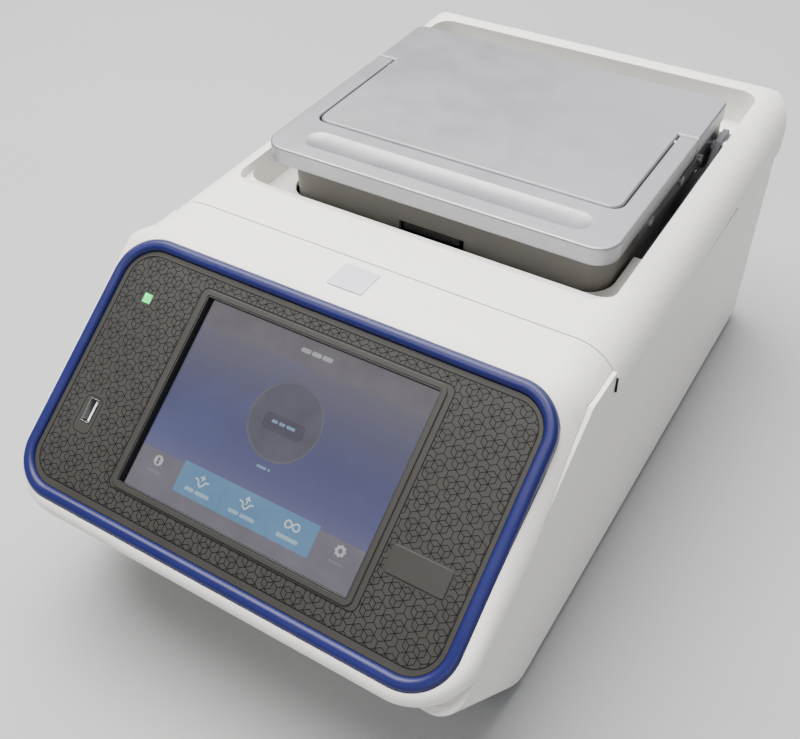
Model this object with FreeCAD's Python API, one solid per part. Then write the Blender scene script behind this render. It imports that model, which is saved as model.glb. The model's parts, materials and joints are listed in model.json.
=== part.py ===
"""Bench-top thermal cycler: enclosure with a sloping touch panel, and a block module with a hinged heated lid.

Millimetres. X runs to the right, Y to the rear, Z up. The origin is on the bench, under the middle of the
bounding box, so the front lip is at -Y and the rear panel at +Y.
"""
import FreeCAD
import Part

import math
import os

from FreeCAD import Placement, Rotation, Vector

# ---- driving dimensions -------------------------------------------------------------------------------

CLEAR = 0.3                # gap between neighbours that are separate pieces
SEAM = 0.6                 # visible seam between two covers

FOOT_HEIGHT = 7.0          # the enclosure stands this far off the bench
FOOT_RADIUS = 11.0
REAR_Y = 224.8
HALF_WIDTH = 136.0         # outside of the front and top covers
SIDE_HALF_WIDTH = 134.6    # outside of the side panels, inset below the covers
TOP_Z = 178.0              # level of the white top
COVER_EDGE_FRONT_Z = 153.0  # lower edge of the top cover on the sides, at the seam
COVER_EDGE_REAR_Z = 141.5  # and at the rear
SHOULDER_RADIUS = 24.0     # long top edges of the top cover
REAR_CORNER_RADIUS = 18.0
REAR_EDGE_RADIUS = 7.0
WALL = 3.0

PANEL_SLOPE = 34.6         # degrees above the bench
PANEL_Y = -158.0           # centre of the display opening, on the panel face
PANEL_Z = 135.0
PANEL_BOTTOM = -83.5       # lower edge of the panel, measured up the slope from that centre
PANEL_EDGE_RADIUS = 6.0
PANEL_CORNER_RADIUS = 34.0
RIM_DEPTH = 11.0           # depth of the front cover's side below the panel face
BROW_RADIUS = 34.0         # where the panel rolls over into the top
NOTCH_FRONT = 34.0         # finger notches under the top cover's side edges
NOTCH_REAR = 128.0
NOTCH_TOP_Z = 152.6
SEAM_Y = -64.6             # seam between the front cover and the top cover
BADGE_X = -2.7
BADGE_Y = -79.7
BADGE_HALF_WIDTH = 10.4
BADGE_HALF_HEIGHT = 9.1
BADGE_DEPTH = 0.8

RING_X = -2.0              # middle of the ring, from the middle of the panel
RING_HALF_WIDTH = 130.1
RING_TOP = 71.6
RING_BOTTOM = -77.3
RING_CORNER = 25.0
RING_WIDTH = 6.6
RING_PROUD = 1.6
BEZEL_SINK = 0.8           # bezel face below the panel face
BEZEL_THICK = 3.0
DISPLAY_X = -0.8           # middle of the display opening
DISPLAY_WIDTH = 139.6
DISPLAY_HEIGHT = 105.6
DISPLAY_FRAME = 2.6        # raised frame round the display opening
GLASS_THICK = 1.1

RECESS_HALF_WIDTH = 116.0
RECESS_FRONT = -34.4
RECESS_REAR = 208.5
RECESS_FLOOR_Z = 155.6
RECESS_CORNER = 12.0
RECESS_LIP_RUN = 10.5      # soft front lip, from the top down into the recess
RECESS_LIP_DROP = 6.0

BAY_HALF_WIDTH = 115.4
BAY_FRONT = -6.5
BAY_REAR = 192.0
BAY_FLOOR_Z = 70.0
DECK_STEP_Y = 38.0         # ahead of this line the recess floor closes in to the shroud

LID_HALF_WIDTH = 107.6
LID_FRONT = -15.3
LID_REAR = 163.8
LID_TOP_Z = 192.8
LID_EDGE = 10.3            # height of the lid's silver edge
LID_CORNER = 13.0
LID_REAR_CORNER = 6.0
HANDLE_ARM = 11.2          # width of each arm of the U-shaped handle
HANDLE_FRONT_BAR = 37.6    # depth of its front bar
HANDLE_ARM_END = 109.8
LID_GAP = 0.9
HANDLE_END_GAP = 1.5       # between the end of each arm and the lid cover
HANDLE_PIVOT_Y = 105.2
HANDLE_PIVOT_Z = 189.8
HANDLE_PIN_RADIUS = 1.8

HINGE_Y = 152.0
HINGE_Z = 167.0
HINGE_PIN_RADIUS = 4.0
RUNNING_FIT = 0.06

SHROUD_HALF_WIDTH = 101.0
SHROUD_FRONT = -3.5
SHROUD_REAR = 146.0
SHROUD_TOP_Z = 181.4
SHROUD_CORNER = 16.0
SHROUD_WALL = 2.5
MODULE_FLOOR_Z = 72.0

WELL_COLUMNS = 12
WELL_ROWS = 8
WELL_PITCH = 9.0
WELL_MOUTH_RADIUS = 2.75
WELL_TIP_RADIUS = 1.3
WELL_DEPTH = 14.0
ZONES = 6                  # the block is cut into thermal zones, two columns of wells each
BLOCK_CENTRE_Y = 72.0
BLOCK_TOP_Z = 148.0
BLOCK_THICK = 16.5
PELTIER_THICK = 3.8
SINK_BASE_THICK = 9.0
FIN_BOTTOM_Z = 78.0
FIN_COUNT = 27

PLATEN_BOTTOM_Z = 154.6
PLATEN_THICK = 7.0

FAN_SIZE = 80.0
FAN_DEPTH = 25.0
FAN_X = 50.0
FAN_Z = 98.0
FAN_BACK_Y = 220.2

X_AXIS = Vector(1, 0, 0)
Y_AXIS = Vector(0, 1, 0)
Z_AXIS = Vector(0, 0, 1)

SLOPE = math.radians(PANEL_SLOPE)
PANEL_PLACEMENT = Placement(Vector(0, PANEL_Y, PANEL_Z), Rotation(X_AXIS, PANEL_SLOPE))

LID_BOTTOM_Z = LID_TOP_Z - LID_EDGE


# ---- helpers ------------------------------------------------------------------------------------------

def box(x0, x1, y0, y1, z0, z1):
    """Axis-aligned box between two corners."""
    return Part.makeBox(x1 - x0, y1 - y0, z1 - z0, Vector(x0, y0, z0))


def rod(start, axis, radius, length):
    """Round bar from a start point along an axis."""
    return Part.makeCylinder(radius, length, start, axis)


def rounded_outline(half_width, y0, y1, radii, z=0.0):
    """Closed wire of a rectangle on the plane z; radii are front-left, front-right, rear-right, rear-left."""
    front = [(-half_width, y0, 1, 1), (half_width, y0, -1, 1)]
    corners = front + [(half_width, y1, -1, -1), (-half_width, y1, 1, -1)]
    points = []
    for (x, y, sx, sy), radius in zip(corners, radii):
        along_x = Vector(x + sx * radius, y, z)
        along_y = Vector(x, y + sy * radius, z)
        diagonal = radius * (1 - math.sqrt(0.5))
        middle = Vector(x + sx * diagonal, y + sy * diagonal, z)
        first, last = (along_y, along_x) if sx * sy > 0 else (along_x, along_y)
        points.append((first, middle, last, radius))
    edges = []
    for index, (first, middle, last, radius) in enumerate(points):
        if radius > 0:
            edges.append(Part.Arc(first, middle, last).toShape())
        following = points[(index + 1) % 4][0]
        if last.distanceToPoint(following) > 1e-6:
            edges.append(Part.makeLine(last, following))
    return Part.Wire(edges)


def slab(half_width, y0, y1, z0, z1, radii):
    """Plate with rounded vertical corners; radii is one number or four."""
    if isinstance(radii, (int, float)):
        radii = (radii,) * 4
    face = Part.Face(rounded_outline(half_width, y0, y1, radii, z0))
    return face.extrude(Vector(0, 0, z1 - z0))


def moved(shape, x=0.0, y=0.0, z=0.0):
    """Copy of a shape, shifted."""
    result = shape.copy()
    result.translate(Vector(x, y, z))
    return result


def on_panel(shape):
    """Take a shape built about the display centre, facing +Z, to its place on the sloping panel."""
    result = shape.copy()
    result.Placement = PANEL_PLACEMENT.multiply(result.Placement)
    return result


def side_prism(points, x0, x1):
    """Polygon in the Y-Z plane, extruded from x0 to x1."""
    wire = Part.makePolygon([Vector(x0, y, z) for y, z in points + points[:1]])
    return Part.Face(wire).extrude(Vector(x1 - x0, 0, 0))


def mirrored(shape):
    """Copy of a shape reflected across the plane X = 0."""
    return shape.mirror(Vector(0, 0, 0), X_AXIS)


def edges_where(shape, test):
    """Edges of a shape whose middle point and direction pass a test."""
    chosen = []
    for edge in shape.Edges:
        middle = edge.valueAt((edge.FirstParameter + edge.LastParameter) / 2)
        direction = edge.tangentAt((edge.FirstParameter + edge.LastParameter) / 2)
        if test(middle, direction):
            chosen.append(edge)
    return chosen


def single(shape):
    """The shape as one plain solid, cleaned of coplanar splits."""
    cleaned = shape.removeSplitter()
    if len(cleaned.Solids) == 1:
        return cleaned.Solids[0]
    return Part.makeCompound(cleaned.Solids)


def group(shapes):
    """Separate solids kept together in one node."""
    solids = []
    for shape in shapes:
        solids.extend(shape.Solids)
    return Part.makeCompound(solids)


def panel_point(up_slope, outward=0.0):
    """(y, z) of a point on the panel's centre line."""
    y = PANEL_Y + up_slope * math.cos(SLOPE) - outward * math.sin(SLOPE)
    z = PANEL_Z + up_slope * math.sin(SLOPE) + outward * math.cos(SLOPE)
    return y, z


def cap_screw(x, y, z, axis, head_radius=2.8, head=2.2, shank_radius=1.5, shank=7.0):
    """Socket screw whose head stands on a face at (x, y, z); axis points out of the face."""
    base = Vector(x, y, z)
    body = rod(base, axis, head_radius, head)
    socket = rod(base + axis * (head * 0.45), axis, head_radius * 0.5, head)
    return body.cut(socket).fuse(rod(base - axis * shank, axis, shank_radius, shank))


# ---- enclosure envelopes ------------------------------------------------------------------------------

BROW_APEX_Y = PANEL_Y + (TOP_Z - PANEL_Z) / math.tan(SLOPE)
BROW_TANGENT = BROW_RADIUS * math.tan(SLOPE / 2)
BROW_START_Y = BROW_APEX_Y - BROW_TANGENT * math.cos(SLOPE)
BROW_END_Y = BROW_APEX_Y + BROW_TANGENT
BODY_DEPTH = 70.0          # the covers' form is made this deep, then trimmed
CHIN_FOOT_Y = -155.0
CHIN_SIDE_RADIUS = 13.0     # long corners between the chin and the side panels


def panel_height(point):
    """Distance of a point above the panel's plane."""
    return -(point.y - PANEL_Y) * math.sin(SLOPE) + (point.z - PANEL_Z) * math.cos(SLOPE)


def soft_edges(solid, half_width, top, skin, inset):
    """Fillet choices: shoulder radius on the top, panel radius on the panel, one running into the other."""
    shoulder = SHOULDER_RADIUS - inset
    small = PANEL_EDGE_RADIUS - inset
    choice = []
    for number, edge in enumerate(solid.Edges, 1):
        middle = edge.valueAt((edge.FirstParameter + edge.LastParameter) / 2)
        if abs(abs(middle.x) - half_width) > 0.05:
            continue
        if middle.z > top - 0.05:
            choice.append((number, shoulder, shoulder))
        elif abs(panel_height(middle) + skin) < 0.05:
            choice.append((number, small, small))
        elif BROW_START_Y - 2 < middle.y < BROW_END_Y + 2 and middle.z > top - 12:
            from_front = edge.valueAt(edge.FirstParameter).y < edge.valueAt(edge.LastParameter).y
            radii = (small, shoulder) if from_front else (shoulder, small)
            choice.append((number,) + radii)
    return choice


def cover_form(inset):
    """Closed form of the front and top covers together, deeper than the covers are."""
    half_width = HALF_WIDTH - inset
    top = TOP_Z - inset
    rear = REAR_Y - inset
    lip = panel_point(PANEL_BOTTOM + inset, -inset)
    heel = panel_point(PANEL_BOTTOM + inset, -BODY_DEPTH)
    brow = BROW_APEX_Y + inset * math.tan(SLOPE / 2)
    solid = side_prism([lip, (brow, top), (rear, top), (rear, heel[1]), heel], -half_width, half_width)
    brow_edge = edges_where(
        solid, lambda p, d: abs(p.y - brow) < 0.01 and p.z > top - 0.01 and abs(d.x) > 0.9)
    solid = solid.makeFillet(BROW_RADIUS - inset, brow_edge)
    lower_corners = edges_where(
        solid, lambda p, d: p.y < lip[0] + 45 and abs(d.z) > 0.75 and panel_height(p) < -5 - inset)
    solid = solid.makeFillet(PANEL_CORNER_RADIUS - inset, lower_corners)

    document = FreeCAD.newDocument("soft")
    base = document.addObject("Part::Feature", "base")
    base.Shape = solid
    fillet = document.addObject("Part::Fillet", "fillet")
    fillet.Base = base
    fillet.Edges = soft_edges(solid, half_width, top, inset, inset)
    document.recompute()
    softened = fillet.Shape.copy()
    FreeCAD.closeDocument("soft")
    corner = REAR_CORNER_RADIUS - inset
    plan = slab(half_width + 1, lip[0] - 50, rear, 0, top + 1, (0, 0, corner + 1, corner + 1))
    block = box(-half_width - 5, half_width + 5, lip[0] - 60, rear, -10, top)
    crest = edges_where(block, lambda p, d: p.y > rear - 0.1 and p.z > top - 0.1)
    return softened.common(plan).common(block.makeFillet(REAR_EDGE_RADIUS - inset, crest))


CHIN_TOP = panel_point(PANEL_BOTTOM + 3.0, -RIM_DEPTH)
CHIN_RUN = CHIN_FOOT_Y - CHIN_TOP[0]
CHIN_RISE = CHIN_TOP[1] - FOOT_HEIGHT


def lower_form(inset):
    """Closed form of the side panels, chin, rear panel and base together."""
    half_width = SIDE_HALF_WIDTH - inset
    rear = REAR_Y - 0.8 - inset
    bottom = FOOT_HEIGHT + inset
    lean = inset * 1.25
    points = [
        (CHIN_FOOT_Y + lean, bottom),
        (CHIN_TOP[0] + lean, CHIN_TOP[1]),
        (CHIN_TOP[0] + lean, TOP_Z),
        (rear, TOP_Z),
        (rear, bottom),
    ]
    solid = side_prism(points, -half_width, half_width)
    front = edges_where(
        solid, lambda p, d: abs(abs(p.x) - half_width) < 0.01 and p.y < CHIN_FOOT_Y + 1 and abs(d.z) > 0.5)
    solid = solid.makeFillet(CHIN_SIDE_RADIUS - inset, front)
    rear_corners = edges_where(solid, lambda p, d: p.y > rear - 0.1 and abs(d.z) > 0.9)
    solid = solid.makeFillet(REAR_CORNER_RADIUS - 1.0 - inset, rear_corners)
    if inset == 0:
        low = edges_where(solid, lambda p, d: abs(p.z - bottom) < 0.01)
        solid = solid.makeFillet(3.0, low)
    return solid


def rim_underside(drop):
    """Everything above a surface that lies a drop below the panel and, behind it, below the top."""
    start = panel_point(PANEL_BOTTOM - 20.0, -drop)
    level = TOP_Z - drop
    knee = BROW_APEX_Y + drop * math.tan(SLOPE / 2)
    points = [start, (knee, level), (SEAM_Y + 40, level), (SEAM_Y + 40, TOP_Z + 40), (start[0], TOP_Z + 40)]
    return side_prism(points, -200, 200)


def cover_edge_z(y):
    """Height of the top cover's lower side edge at a place along the side."""
    share = (y - SEAM_Y) / (REAR_Y - SEAM_Y)
    return COVER_EDGE_FRONT_Z + share * (COVER_EDGE_REAR_Z - COVER_EDGE_FRONT_Z)


def above_cover_edge(shift):
    """Everything behind the seam and above the top cover's side edge moved by a shift."""
    front = SEAM_Y + SEAM / 2
    points = [
        (front, cover_edge_z(front) + shift),
        (REAR_Y + 5, cover_edge_z(REAR_Y + 5) + shift),
        (REAR_Y + 5, TOP_Z + 40),
        (front, TOP_Z + 40),
    ]
    return side_prism(points, -200, 200)


# ---- covers -------------------------------------------------------------------------------------------

def finger_notch(side):
    """Cutter for the tapered finger notch under one side edge of the top cover."""
    ramp = 10.0
    points = [
        (NOTCH_FRONT, cover_edge_z(NOTCH_FRONT) - 4),
        (NOTCH_REAR, cover_edge_z(NOTCH_REAR) - 4),
        (NOTCH_REAR, cover_edge_z(NOTCH_REAR)),
        (NOTCH_REAR - ramp, NOTCH_TOP_Z),
        (NOTCH_FRONT + ramp, NOTCH_TOP_Z),
        (NOTCH_FRONT, cover_edge_z(NOTCH_FRONT)),
    ]
    inner, outer = (HALF_WIDTH - 12, HALF_WIDTH + 5) if side > 0 else (-HALF_WIDTH - 5, -HALF_WIDTH + 12)
    return side_prism(points, inner, outer)


def recess_cutter():
    """The well in the top cover, with its soft front lip."""
    well = slab(RECESS_HALF_WIDTH, RECESS_FRONT + RECESS_LIP_RUN, RECESS_REAR, RECESS_FLOOR_Z, TOP_Z + 20,
                RECESS_CORNER)
    points = [
        (RECESS_FRONT, TOP_Z + 20),
        (RECESS_FRONT, TOP_Z),
        (RECESS_FRONT + RECESS_LIP_RUN, TOP_Z - RECESS_LIP_DROP),
        (RECESS_FRONT + 40, TOP_Z - RECESS_LIP_DROP),
        (RECESS_FRONT + 40, TOP_Z + 20),
    ]
    lip = side_prism(points, -RECESS_HALF_WIDTH, RECESS_HALF_WIDTH)
    lip = lip.common(slab(RECESS_HALF_WIDTH, RECESS_FRONT, RECESS_REAR, 0, TOP_Z + 30, RECESS_CORNER))
    return well.fuse(lip)


def bay_opening(bottom, top):
    """Way down through the recess floor: narrow round the shroud, wide where the lid's side gear stands."""
    front = slab(SHROUD_HALF_WIDTH + 2, BAY_FRONT + 1.5, DECK_STEP_Y + 20, bottom, top, (17, 17, 0, 0))
    rear = box(-BAY_HALF_WIDTH, BAY_HALF_WIDTH, DECK_STEP_Y, BAY_REAR, bottom, top)
    return front.fuse(rear)


def top_cover(form, inner_form):
    """White moulded cover behind the seam, with the recess that the block module sits in."""
    shell = form.cut(inner_form).common(above_cover_edge(0))
    outer = slab(RECESS_HALF_WIDTH + WALL, RECESS_FRONT - 1.5, RECESS_REAR + WALL,
                 RECESS_FLOOR_Z - WALL, TOP_Z - 1.0, RECESS_CORNER + WALL)
    shell = shell.fuse(outer.common(form)).cut(recess_cutter())
    shell = shell.cut(bay_opening(RECESS_FLOOR_Z - 10, RECESS_FLOOR_Z + 1))
    for side in (-1, 1):
        shell = shell.cut(finger_notch(side))
    return single(shell)


def front_cover(form, inner_form):
    """White moulded cover ahead of the seam: the rim of the display panel and the brow above it."""
    shell = form.cut(inner_form).common(rim_underside(RIM_DEPTH))
    shell = shell.common(box(-200, 200, -300, SEAM_Y - SEAM / 2, 0, 300))
    shelf = ring_slab(-1.7, -RIM_DEPTH + 3.4, -2)
    shell = shell.fuse(on_panel(shelf).common(form))
    pocket = ring_slab(-0.2, -5.0, 20)
    window = ring_slab(13, -30, 20)
    return single(shell.cut(on_panel(pocket)).cut(on_panel(window)).cut(badge_form(0.2, 0.4)))


def badge_form(grow, proud):
    """Plate with the badge's outline, let into the flat top."""
    half = BADGE_HALF_HEIGHT + grow
    plate = slab(BADGE_HALF_WIDTH + grow, -half, half, TOP_Z - BADGE_DEPTH, TOP_Z + proud, 1.4)
    return moved(plate, BADGE_X, BADGE_Y)


def badge_plate():
    """Blank plate let into the top ahead of the seam."""
    return badge_form(0, 0.25)


def lower_shell(lower, lower_inner):
    """Wall of the sides and chin, below both covers, open at the bottom."""
    drop = WALL + 1.0
    ahead = box(-200, 200, -300, 0, 0, 300)
    behind = box(-200, 200, 0, 300, 0, 300)
    opened_front = moved(lower_inner, 0, drop * CHIN_RUN / CHIN_RISE, -drop).common(ahead)
    opened_rear = moved(lower_inner, 0, 0, -drop).common(behind)
    shell = lower.cut(lower_inner).cut(opened_front).cut(opened_rear)
    keep_low = box(-200, 200, -300, SEAM_Y - SEAM / 2, 0, 300).cut(rim_underside(RIM_DEPTH + CLEAR))
    behind = box(-200, 200, SEAM_Y - SEAM / 2, 300, 0, 300).cut(above_cover_edge(-CLEAR).fuse(
        box(-200, 200, SEAM_Y - SEAM, SEAM_Y + SEAM, cover_edge_z(SEAM_Y) - CLEAR, 300)))
    return shell.common(keep_low.fuse(behind))


CHIN_HALF_WIDTH = 104.0
REAR_PANEL_HALF_WIDTH = 112.0
SOCKET_PANEL_TOP_Z = 56.0
BASE_TOP_Z = FOOT_HEIGHT + 2.4


def side_panel(shell, side):
    """One side of the enclosure, from the chin's end to the rear corner, closed behind the notch."""
    low, high = (CHIN_HALF_WIDTH + CLEAR, 200) if side > 0 else (-200, -CHIN_HALF_WIDTH - CLEAR)
    wall = shell.common(box(low, high, -300, 300, BASE_TOP_Z + CLEAR, 300))
    rear_gap = REAR_PANEL_HALF_WIDTH + CLEAR
    wall = wall.cut(box(-rear_gap, rear_gap, REAR_Y - 10, REAR_Y + 5, 0, 300))
    strip = box(128.6, 131.7, NOTCH_FRONT - 6, NOTCH_REAR + 6, 128.0, 156.0)
    if side < 0:
        strip = mirrored(strip)
    return single(wall.fuse(strip))


def chin_cover(shell):
    """Front of the enclosure under the overhanging lip."""
    zone = box(-CHIN_HALF_WIDTH, CHIN_HALF_WIDTH, -300, CHIN_FOOT_Y + 8, BASE_TOP_Z + CLEAR, 300)
    wall = shell.common(zone)
    solids = sorted(wall.Solids, key=lambda solid: solid.Volume)
    return single(solids[-1])


def base_tray(lower):
    """Bottom tray with an air inlet under the nose and a folded edge."""
    plate = lower.common(box(-200, 200, -300, REAR_Y - 4.2, 0, BASE_TOP_Z))
    floor_zone = slab(SIDE_HALF_WIDTH - 9, CHIN_FOOT_Y + 28, REAR_Y - 14, BASE_TOP_Z, BASE_TOP_Z + 9, 14)
    inner_zone = slab(SIDE_HALF_WIDTH - 10.6, CHIN_FOOT_Y + 29.6, REAR_Y - 15.6,
                      BASE_TOP_Z - 0.1, BASE_TOP_Z + 12, 12.5)
    tray = plate.fuse(floor_zone.cut(inner_zone))
    for row in range(2):
        for column in range(10):
            x = -72 + column * 16
            y = -128 + row * 26
            tray = tray.cut(box(x - 1.6, x + 1.6, y - 10, y + 10, 0, 20))
    return single(tray)


def rear_plate(bottom, top):
    """Sheet across the rear between two heights."""
    return box(-REAR_PANEL_HALF_WIDTH, REAR_PANEL_HALF_WIDTH, REAR_Y - 3.8, REAR_Y - 1.8, bottom, top)


def rear_panel():
    """Upper rear plate, with a round window and screw holes for each fan."""
    plate = rear_plate(SOCKET_PANEL_TOP_Z + CLEAR, COVER_EDGE_REAR_Z - CLEAR)
    for side in (-1, 1):
        plate = plate.cut(rod(Vector(side * FAN_X, REAR_Y - 10, FAN_Z), Y_AXIS, 37.5, 20))
    return single(plate)


def socket_panel():
    """Lower rear plate, with the openings for the sockets."""
    plate = rear_plate(BASE_TOP_Z + CLEAR, SOCKET_PANEL_TOP_Z)
    openings = (
        (INLET_X, 24.2, INLET_Z - 14.2, INLET_Z + 14.2),
        (NETWORK_X, 8.2, 26.8, 40.7),
        (REAR_USB_X, 7.2, 29.8, 36.2),
    )
    for x, half, bottom, top in openings:
        plate = plate.cut(box(x - half, x + half, REAR_Y - 10, REAR_Y, bottom, top))
    return single(plate)


def rubber_feet():
    """Four round feet pressed into the base."""
    feet = []
    for x in (-104, 104):
        for y in (-128, 196):
            pad = rod(Vector(x, y, 0), Z_AXIS, FOOT_RADIUS, FOOT_HEIGHT)
            rim = [edge for edge in pad.Edges if edge.BoundBox.ZMax < 0.01]
            feet.append(pad.makeFillet(1.2, rim))
    return group(feet)


# ---- display panel ------------------------------------------------------------------------------------

def ring_slab(shrink, low, high):
    """Plate with the trim ring's outline, shrunk."""
    corner = RING_CORNER - shrink
    plate = slab(RING_HALF_WIDTH - shrink, RING_BOTTOM + shrink, RING_TOP - shrink, low, high, corner)
    return moved(plate, RING_X, 0)


def trim_ring():
    """Half-round blue ring between the white rim and the bezel."""
    band = ring_slab(0, -4.8, RING_PROUD).cut(ring_slab(RING_WIDTH, -10, 10))
    upper = [edge for edge in band.Edges if abs(edge.BoundBox.ZMin - RING_PROUD) < 0.01]
    return single(on_panel(band.makeFillet(2.6, upper)))


def display_frame(grow, low, high):
    """Plate with the display opening's outline, grown."""
    half_height = DISPLAY_HEIGHT / 2 + grow
    plate = slab(DISPLAY_WIDTH / 2 + grow, -half_height, half_height, low, high, 1.5 + grow)
    return moved(plate, DISPLAY_X, 0)


USB_X = -104.8
USB_V = -27.0
USB_LENGTH = 13.1
USB_WIDTH = 5.7
USB_DEPTH = 14.0
STATUS_X = -104.4
STATUS_V = 38.8
STATUS_SIZE = 5.0
PLATE_X = 94.4
PLATE_V = -26.9
PLATE_HALF = (15.4, 6.6)


def display_bezel():
    """Dark plate inside the ring: display opening, socket and status openings, raised blank name plate."""
    plate = ring_slab(RING_WIDTH + 0.15, -BEZEL_SINK - BEZEL_THICK, -BEZEL_SINK)
    plate = plate.fuse(display_frame(DISPLAY_FRAME, -BEZEL_SINK - BEZEL_THICK, -0.1))
    plate = plate.cut(display_frame(0, -20, 20))
    plate = plate.cut(box(USB_X - 3.1, USB_X + 3.1, USB_V - 6.9, USB_V + 6.9, -20, 20))
    half = STATUS_SIZE / 2 + 0.1
    plate = plate.cut(box(STATUS_X - half, STATUS_X + half, STATUS_V - half, STATUS_V + half, -20, 20))
    blank = slab(PLATE_HALF[0], -PLATE_HALF[1], PLATE_HALF[1], -BEZEL_SINK - 0.5, -BEZEL_SINK + 0.5, 1.2)
    return single(on_panel(plate.fuse(moved(blank, PLATE_X, PLATE_V))))


def touch_glass():
    """Cover glass behind the display opening."""
    return on_panel(slab(DISPLAY_WIDTH / 2 + 4, -DISPLAY_HEIGHT / 2 - 4, DISPLAY_HEIGHT / 2 + 4,
                         -BEZEL_SINK - BEZEL_THICK - GLASS_THICK, -BEZEL_SINK - BEZEL_THICK, 2.0))


DISPLAY_BACK = -BEZEL_SINK - BEZEL_THICK - GLASS_THICK


def lcd_module():
    """Display module: metal can behind the glass, with a flat lead's socket at its lower edge."""
    can = box(-76, 76, -58, 58, DISPLAY_BACK - 6.2, DISPLAY_BACK)
    socket = box(-14, 14, -62, -58, DISPLAY_BACK - 5.0, DISPLAY_BACK - 2.0)
    return single(on_panel(can.fuse(socket)))


def display_board():
    """Display and touch controller board with its connectors."""
    top = DISPLAY_BACK - 10.0
    board = box(-70, 70, -50, 50, top - 1.6, top)
    parts = box(-40, -20, -40, -20, top - 4.6, top - 1.6)
    parts = parts.fuse(box(10, 34, -8, 16, top - 3.8, top - 1.6))
    parts = parts.fuse(box(-60, -30, 30, 38, top - 7.6, top - 1.6))
    return single(on_panel(board.fuse(parts)))


def display_bracket():
    """Folded sheet bracket that holds the display and its board under the front cover."""
    top = DISPLAY_BACK - 20.0
    sheet = box(-96, 96, -52, 52, top - 1.5, top)
    for x in (-86, 86):
        for v in (-44, 44):
            foot_v = v - 5
            sheet = sheet.fuse(box(x - 5, x + 5, foot_v, foot_v + 10, top, DISPLAY_BACK - 2.8))
    sheet = sheet.cut(box(-60, 60, -40, -24, top - 5, top + 1))
    return single(on_panel(sheet))


def status_light():
    """Clear light pipe of the status window."""
    half = STATUS_SIZE / 2
    return on_panel(box(STATUS_X - half, STATUS_X + half, STATUS_V - half, STATUS_V + half, -8.0, -0.6))


def usb_shell_at(length, width, depth, wall):
    """Rectangular metal socket shell, its mouth at z = 0, long side along Y."""
    outer = box(-width / 2, width / 2, -length / 2, length / 2, -depth, 0)
    inner = box(-width / 2 + wall, width / 2 - wall, -length / 2 + wall, length / 2 - wall, -depth + 1.0, 1)
    return outer.cut(inner)


def front_usb_shell():
    """Steel shell of the memory-stick socket in the bezel."""
    shell = moved(usb_shell_at(USB_LENGTH, USB_WIDTH, USB_DEPTH, 0.35), USB_X, USB_V, -0.4)
    return single(on_panel(shell))


def front_usb_tongue():
    """Contact tongue inside that socket, to one side."""
    return on_panel(box(USB_X + 0.2, USB_X + 2.1, USB_V - 5.6, USB_V + 5.6, -0.4 - USB_DEPTH + 1.1, -2.0))


# ---- power, boards and sockets ------------------------------------------------------------------------

INLET_X = -78.0
INLET_Z = 36.0
NETWORK_X = 40.0
REAR_USB_X = 70.0
SWITCH_HALF = (5.6, 9.4)


INLET_DEPTH = 17.0
BLADES = ((-14.7, 1.5), (-7.7, 5.5), (-0.7, 1.5))


def power_inlet():
    """Housing of the mains inlet, with a switch opening and a slot for the fuse drawer."""
    face_y = REAR_Y - 1.8
    flange = box(INLET_X - 27, INLET_X + 27, face_y, face_y + 1.6, INLET_Z - 16, INLET_Z + 16)
    body = box(INLET_X - 24, INLET_X + 24, face_y - 30, face_y, INLET_Z - 14, INLET_Z + 14)
    socket = box(INLET_X - 20, INLET_X + 4.6, face_y - INLET_DEPTH, face_y + 5, INLET_Z - 5.0, INLET_Z + 11.0)
    fuse_slot = box(INLET_X - 20.3, INLET_X + 4.9, face_y - 22, face_y + 5, INLET_Z - 12.3, INLET_Z - 5.7)
    half_x = SWITCH_HALF[0] + 0.4
    half_z = SWITCH_HALF[1] + 1.6
    switch_hole = box(SWITCH_X - half_x, SWITCH_X + half_x, face_y - 14, face_y + 5,
                      INLET_Z - half_z, INLET_Z + half_z)
    return single(flange.fuse(body).cut(socket).cut(fuse_slot).cut(switch_hole))


def inlet_blades():
    """Three contact blades on the back wall of the inlet."""
    face_y = REAR_Y - 1.8
    blades = []
    for x, z in BLADES:
        blades.append(box(INLET_X + x - 1, INLET_X + x + 1, face_y - INLET_DEPTH, face_y - 2,
                          INLET_Z + z - 2, INLET_Z + z + 2))
    return group(blades)


SWITCH_X = INLET_X + 15.0
SWITCH_PIVOT_Y = REAR_Y - 5.0
SWITCH_TILT = 14.0         # degrees from on to off


def power_rocker():
    """Rocker of the mains switch, shown pressed at its upper end; it turns about its own axle."""
    half_x, half_z = SWITCH_HALF
    lean = math.radians(SWITCH_TILT / 2)
    face = 3.6
    points = [
        (-4.0, -half_z + 1.5),
        (face, -half_z),
        (face - half_z * math.tan(lean), 0.0),
        (face, half_z),
        (-4.0, half_z - 1.5),
    ]
    key = side_prism(points, -half_x, half_x)
    key = key.fuse(rod(Vector(-half_x - 0.2, 0, 0), X_AXIS, 1.6, 2 * half_x + 0.4))
    key.rotate(Vector(0, 0, 0), X_AXIS, SWITCH_TILT / 2)
    return single(moved(key, SWITCH_X, SWITCH_PIVOT_Y, INLET_Z))


def fuse_drawer():
    """Small drawer with two fuses under the mains inlet."""
    face_y = REAR_Y - 1.8
    x0 = INLET_X - 20.0
    x1 = INLET_X + 4.6
    drawer = box(x0, x1, face_y - 20, face_y + 1.2, INLET_Z - 12.0, INLET_Z - 6.0)
    drawer = drawer.cut(box(x0 + 1.5, x1 - 1.5, face_y - 18, face_y - 2, INLET_Z - 10.8, INLET_Z - 5.0))
    return single(drawer)


def power_supply():
    """Closed power supply with a perforated cover, on the left of the base."""
    case = box(-122, -18, 6, 166, 13, 56)
    for index in range(9):
        y = 20 + index * 15
        case = case.cut(box(-100, -40, y, y + 6, 53, 60))
    return single(case)


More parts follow.
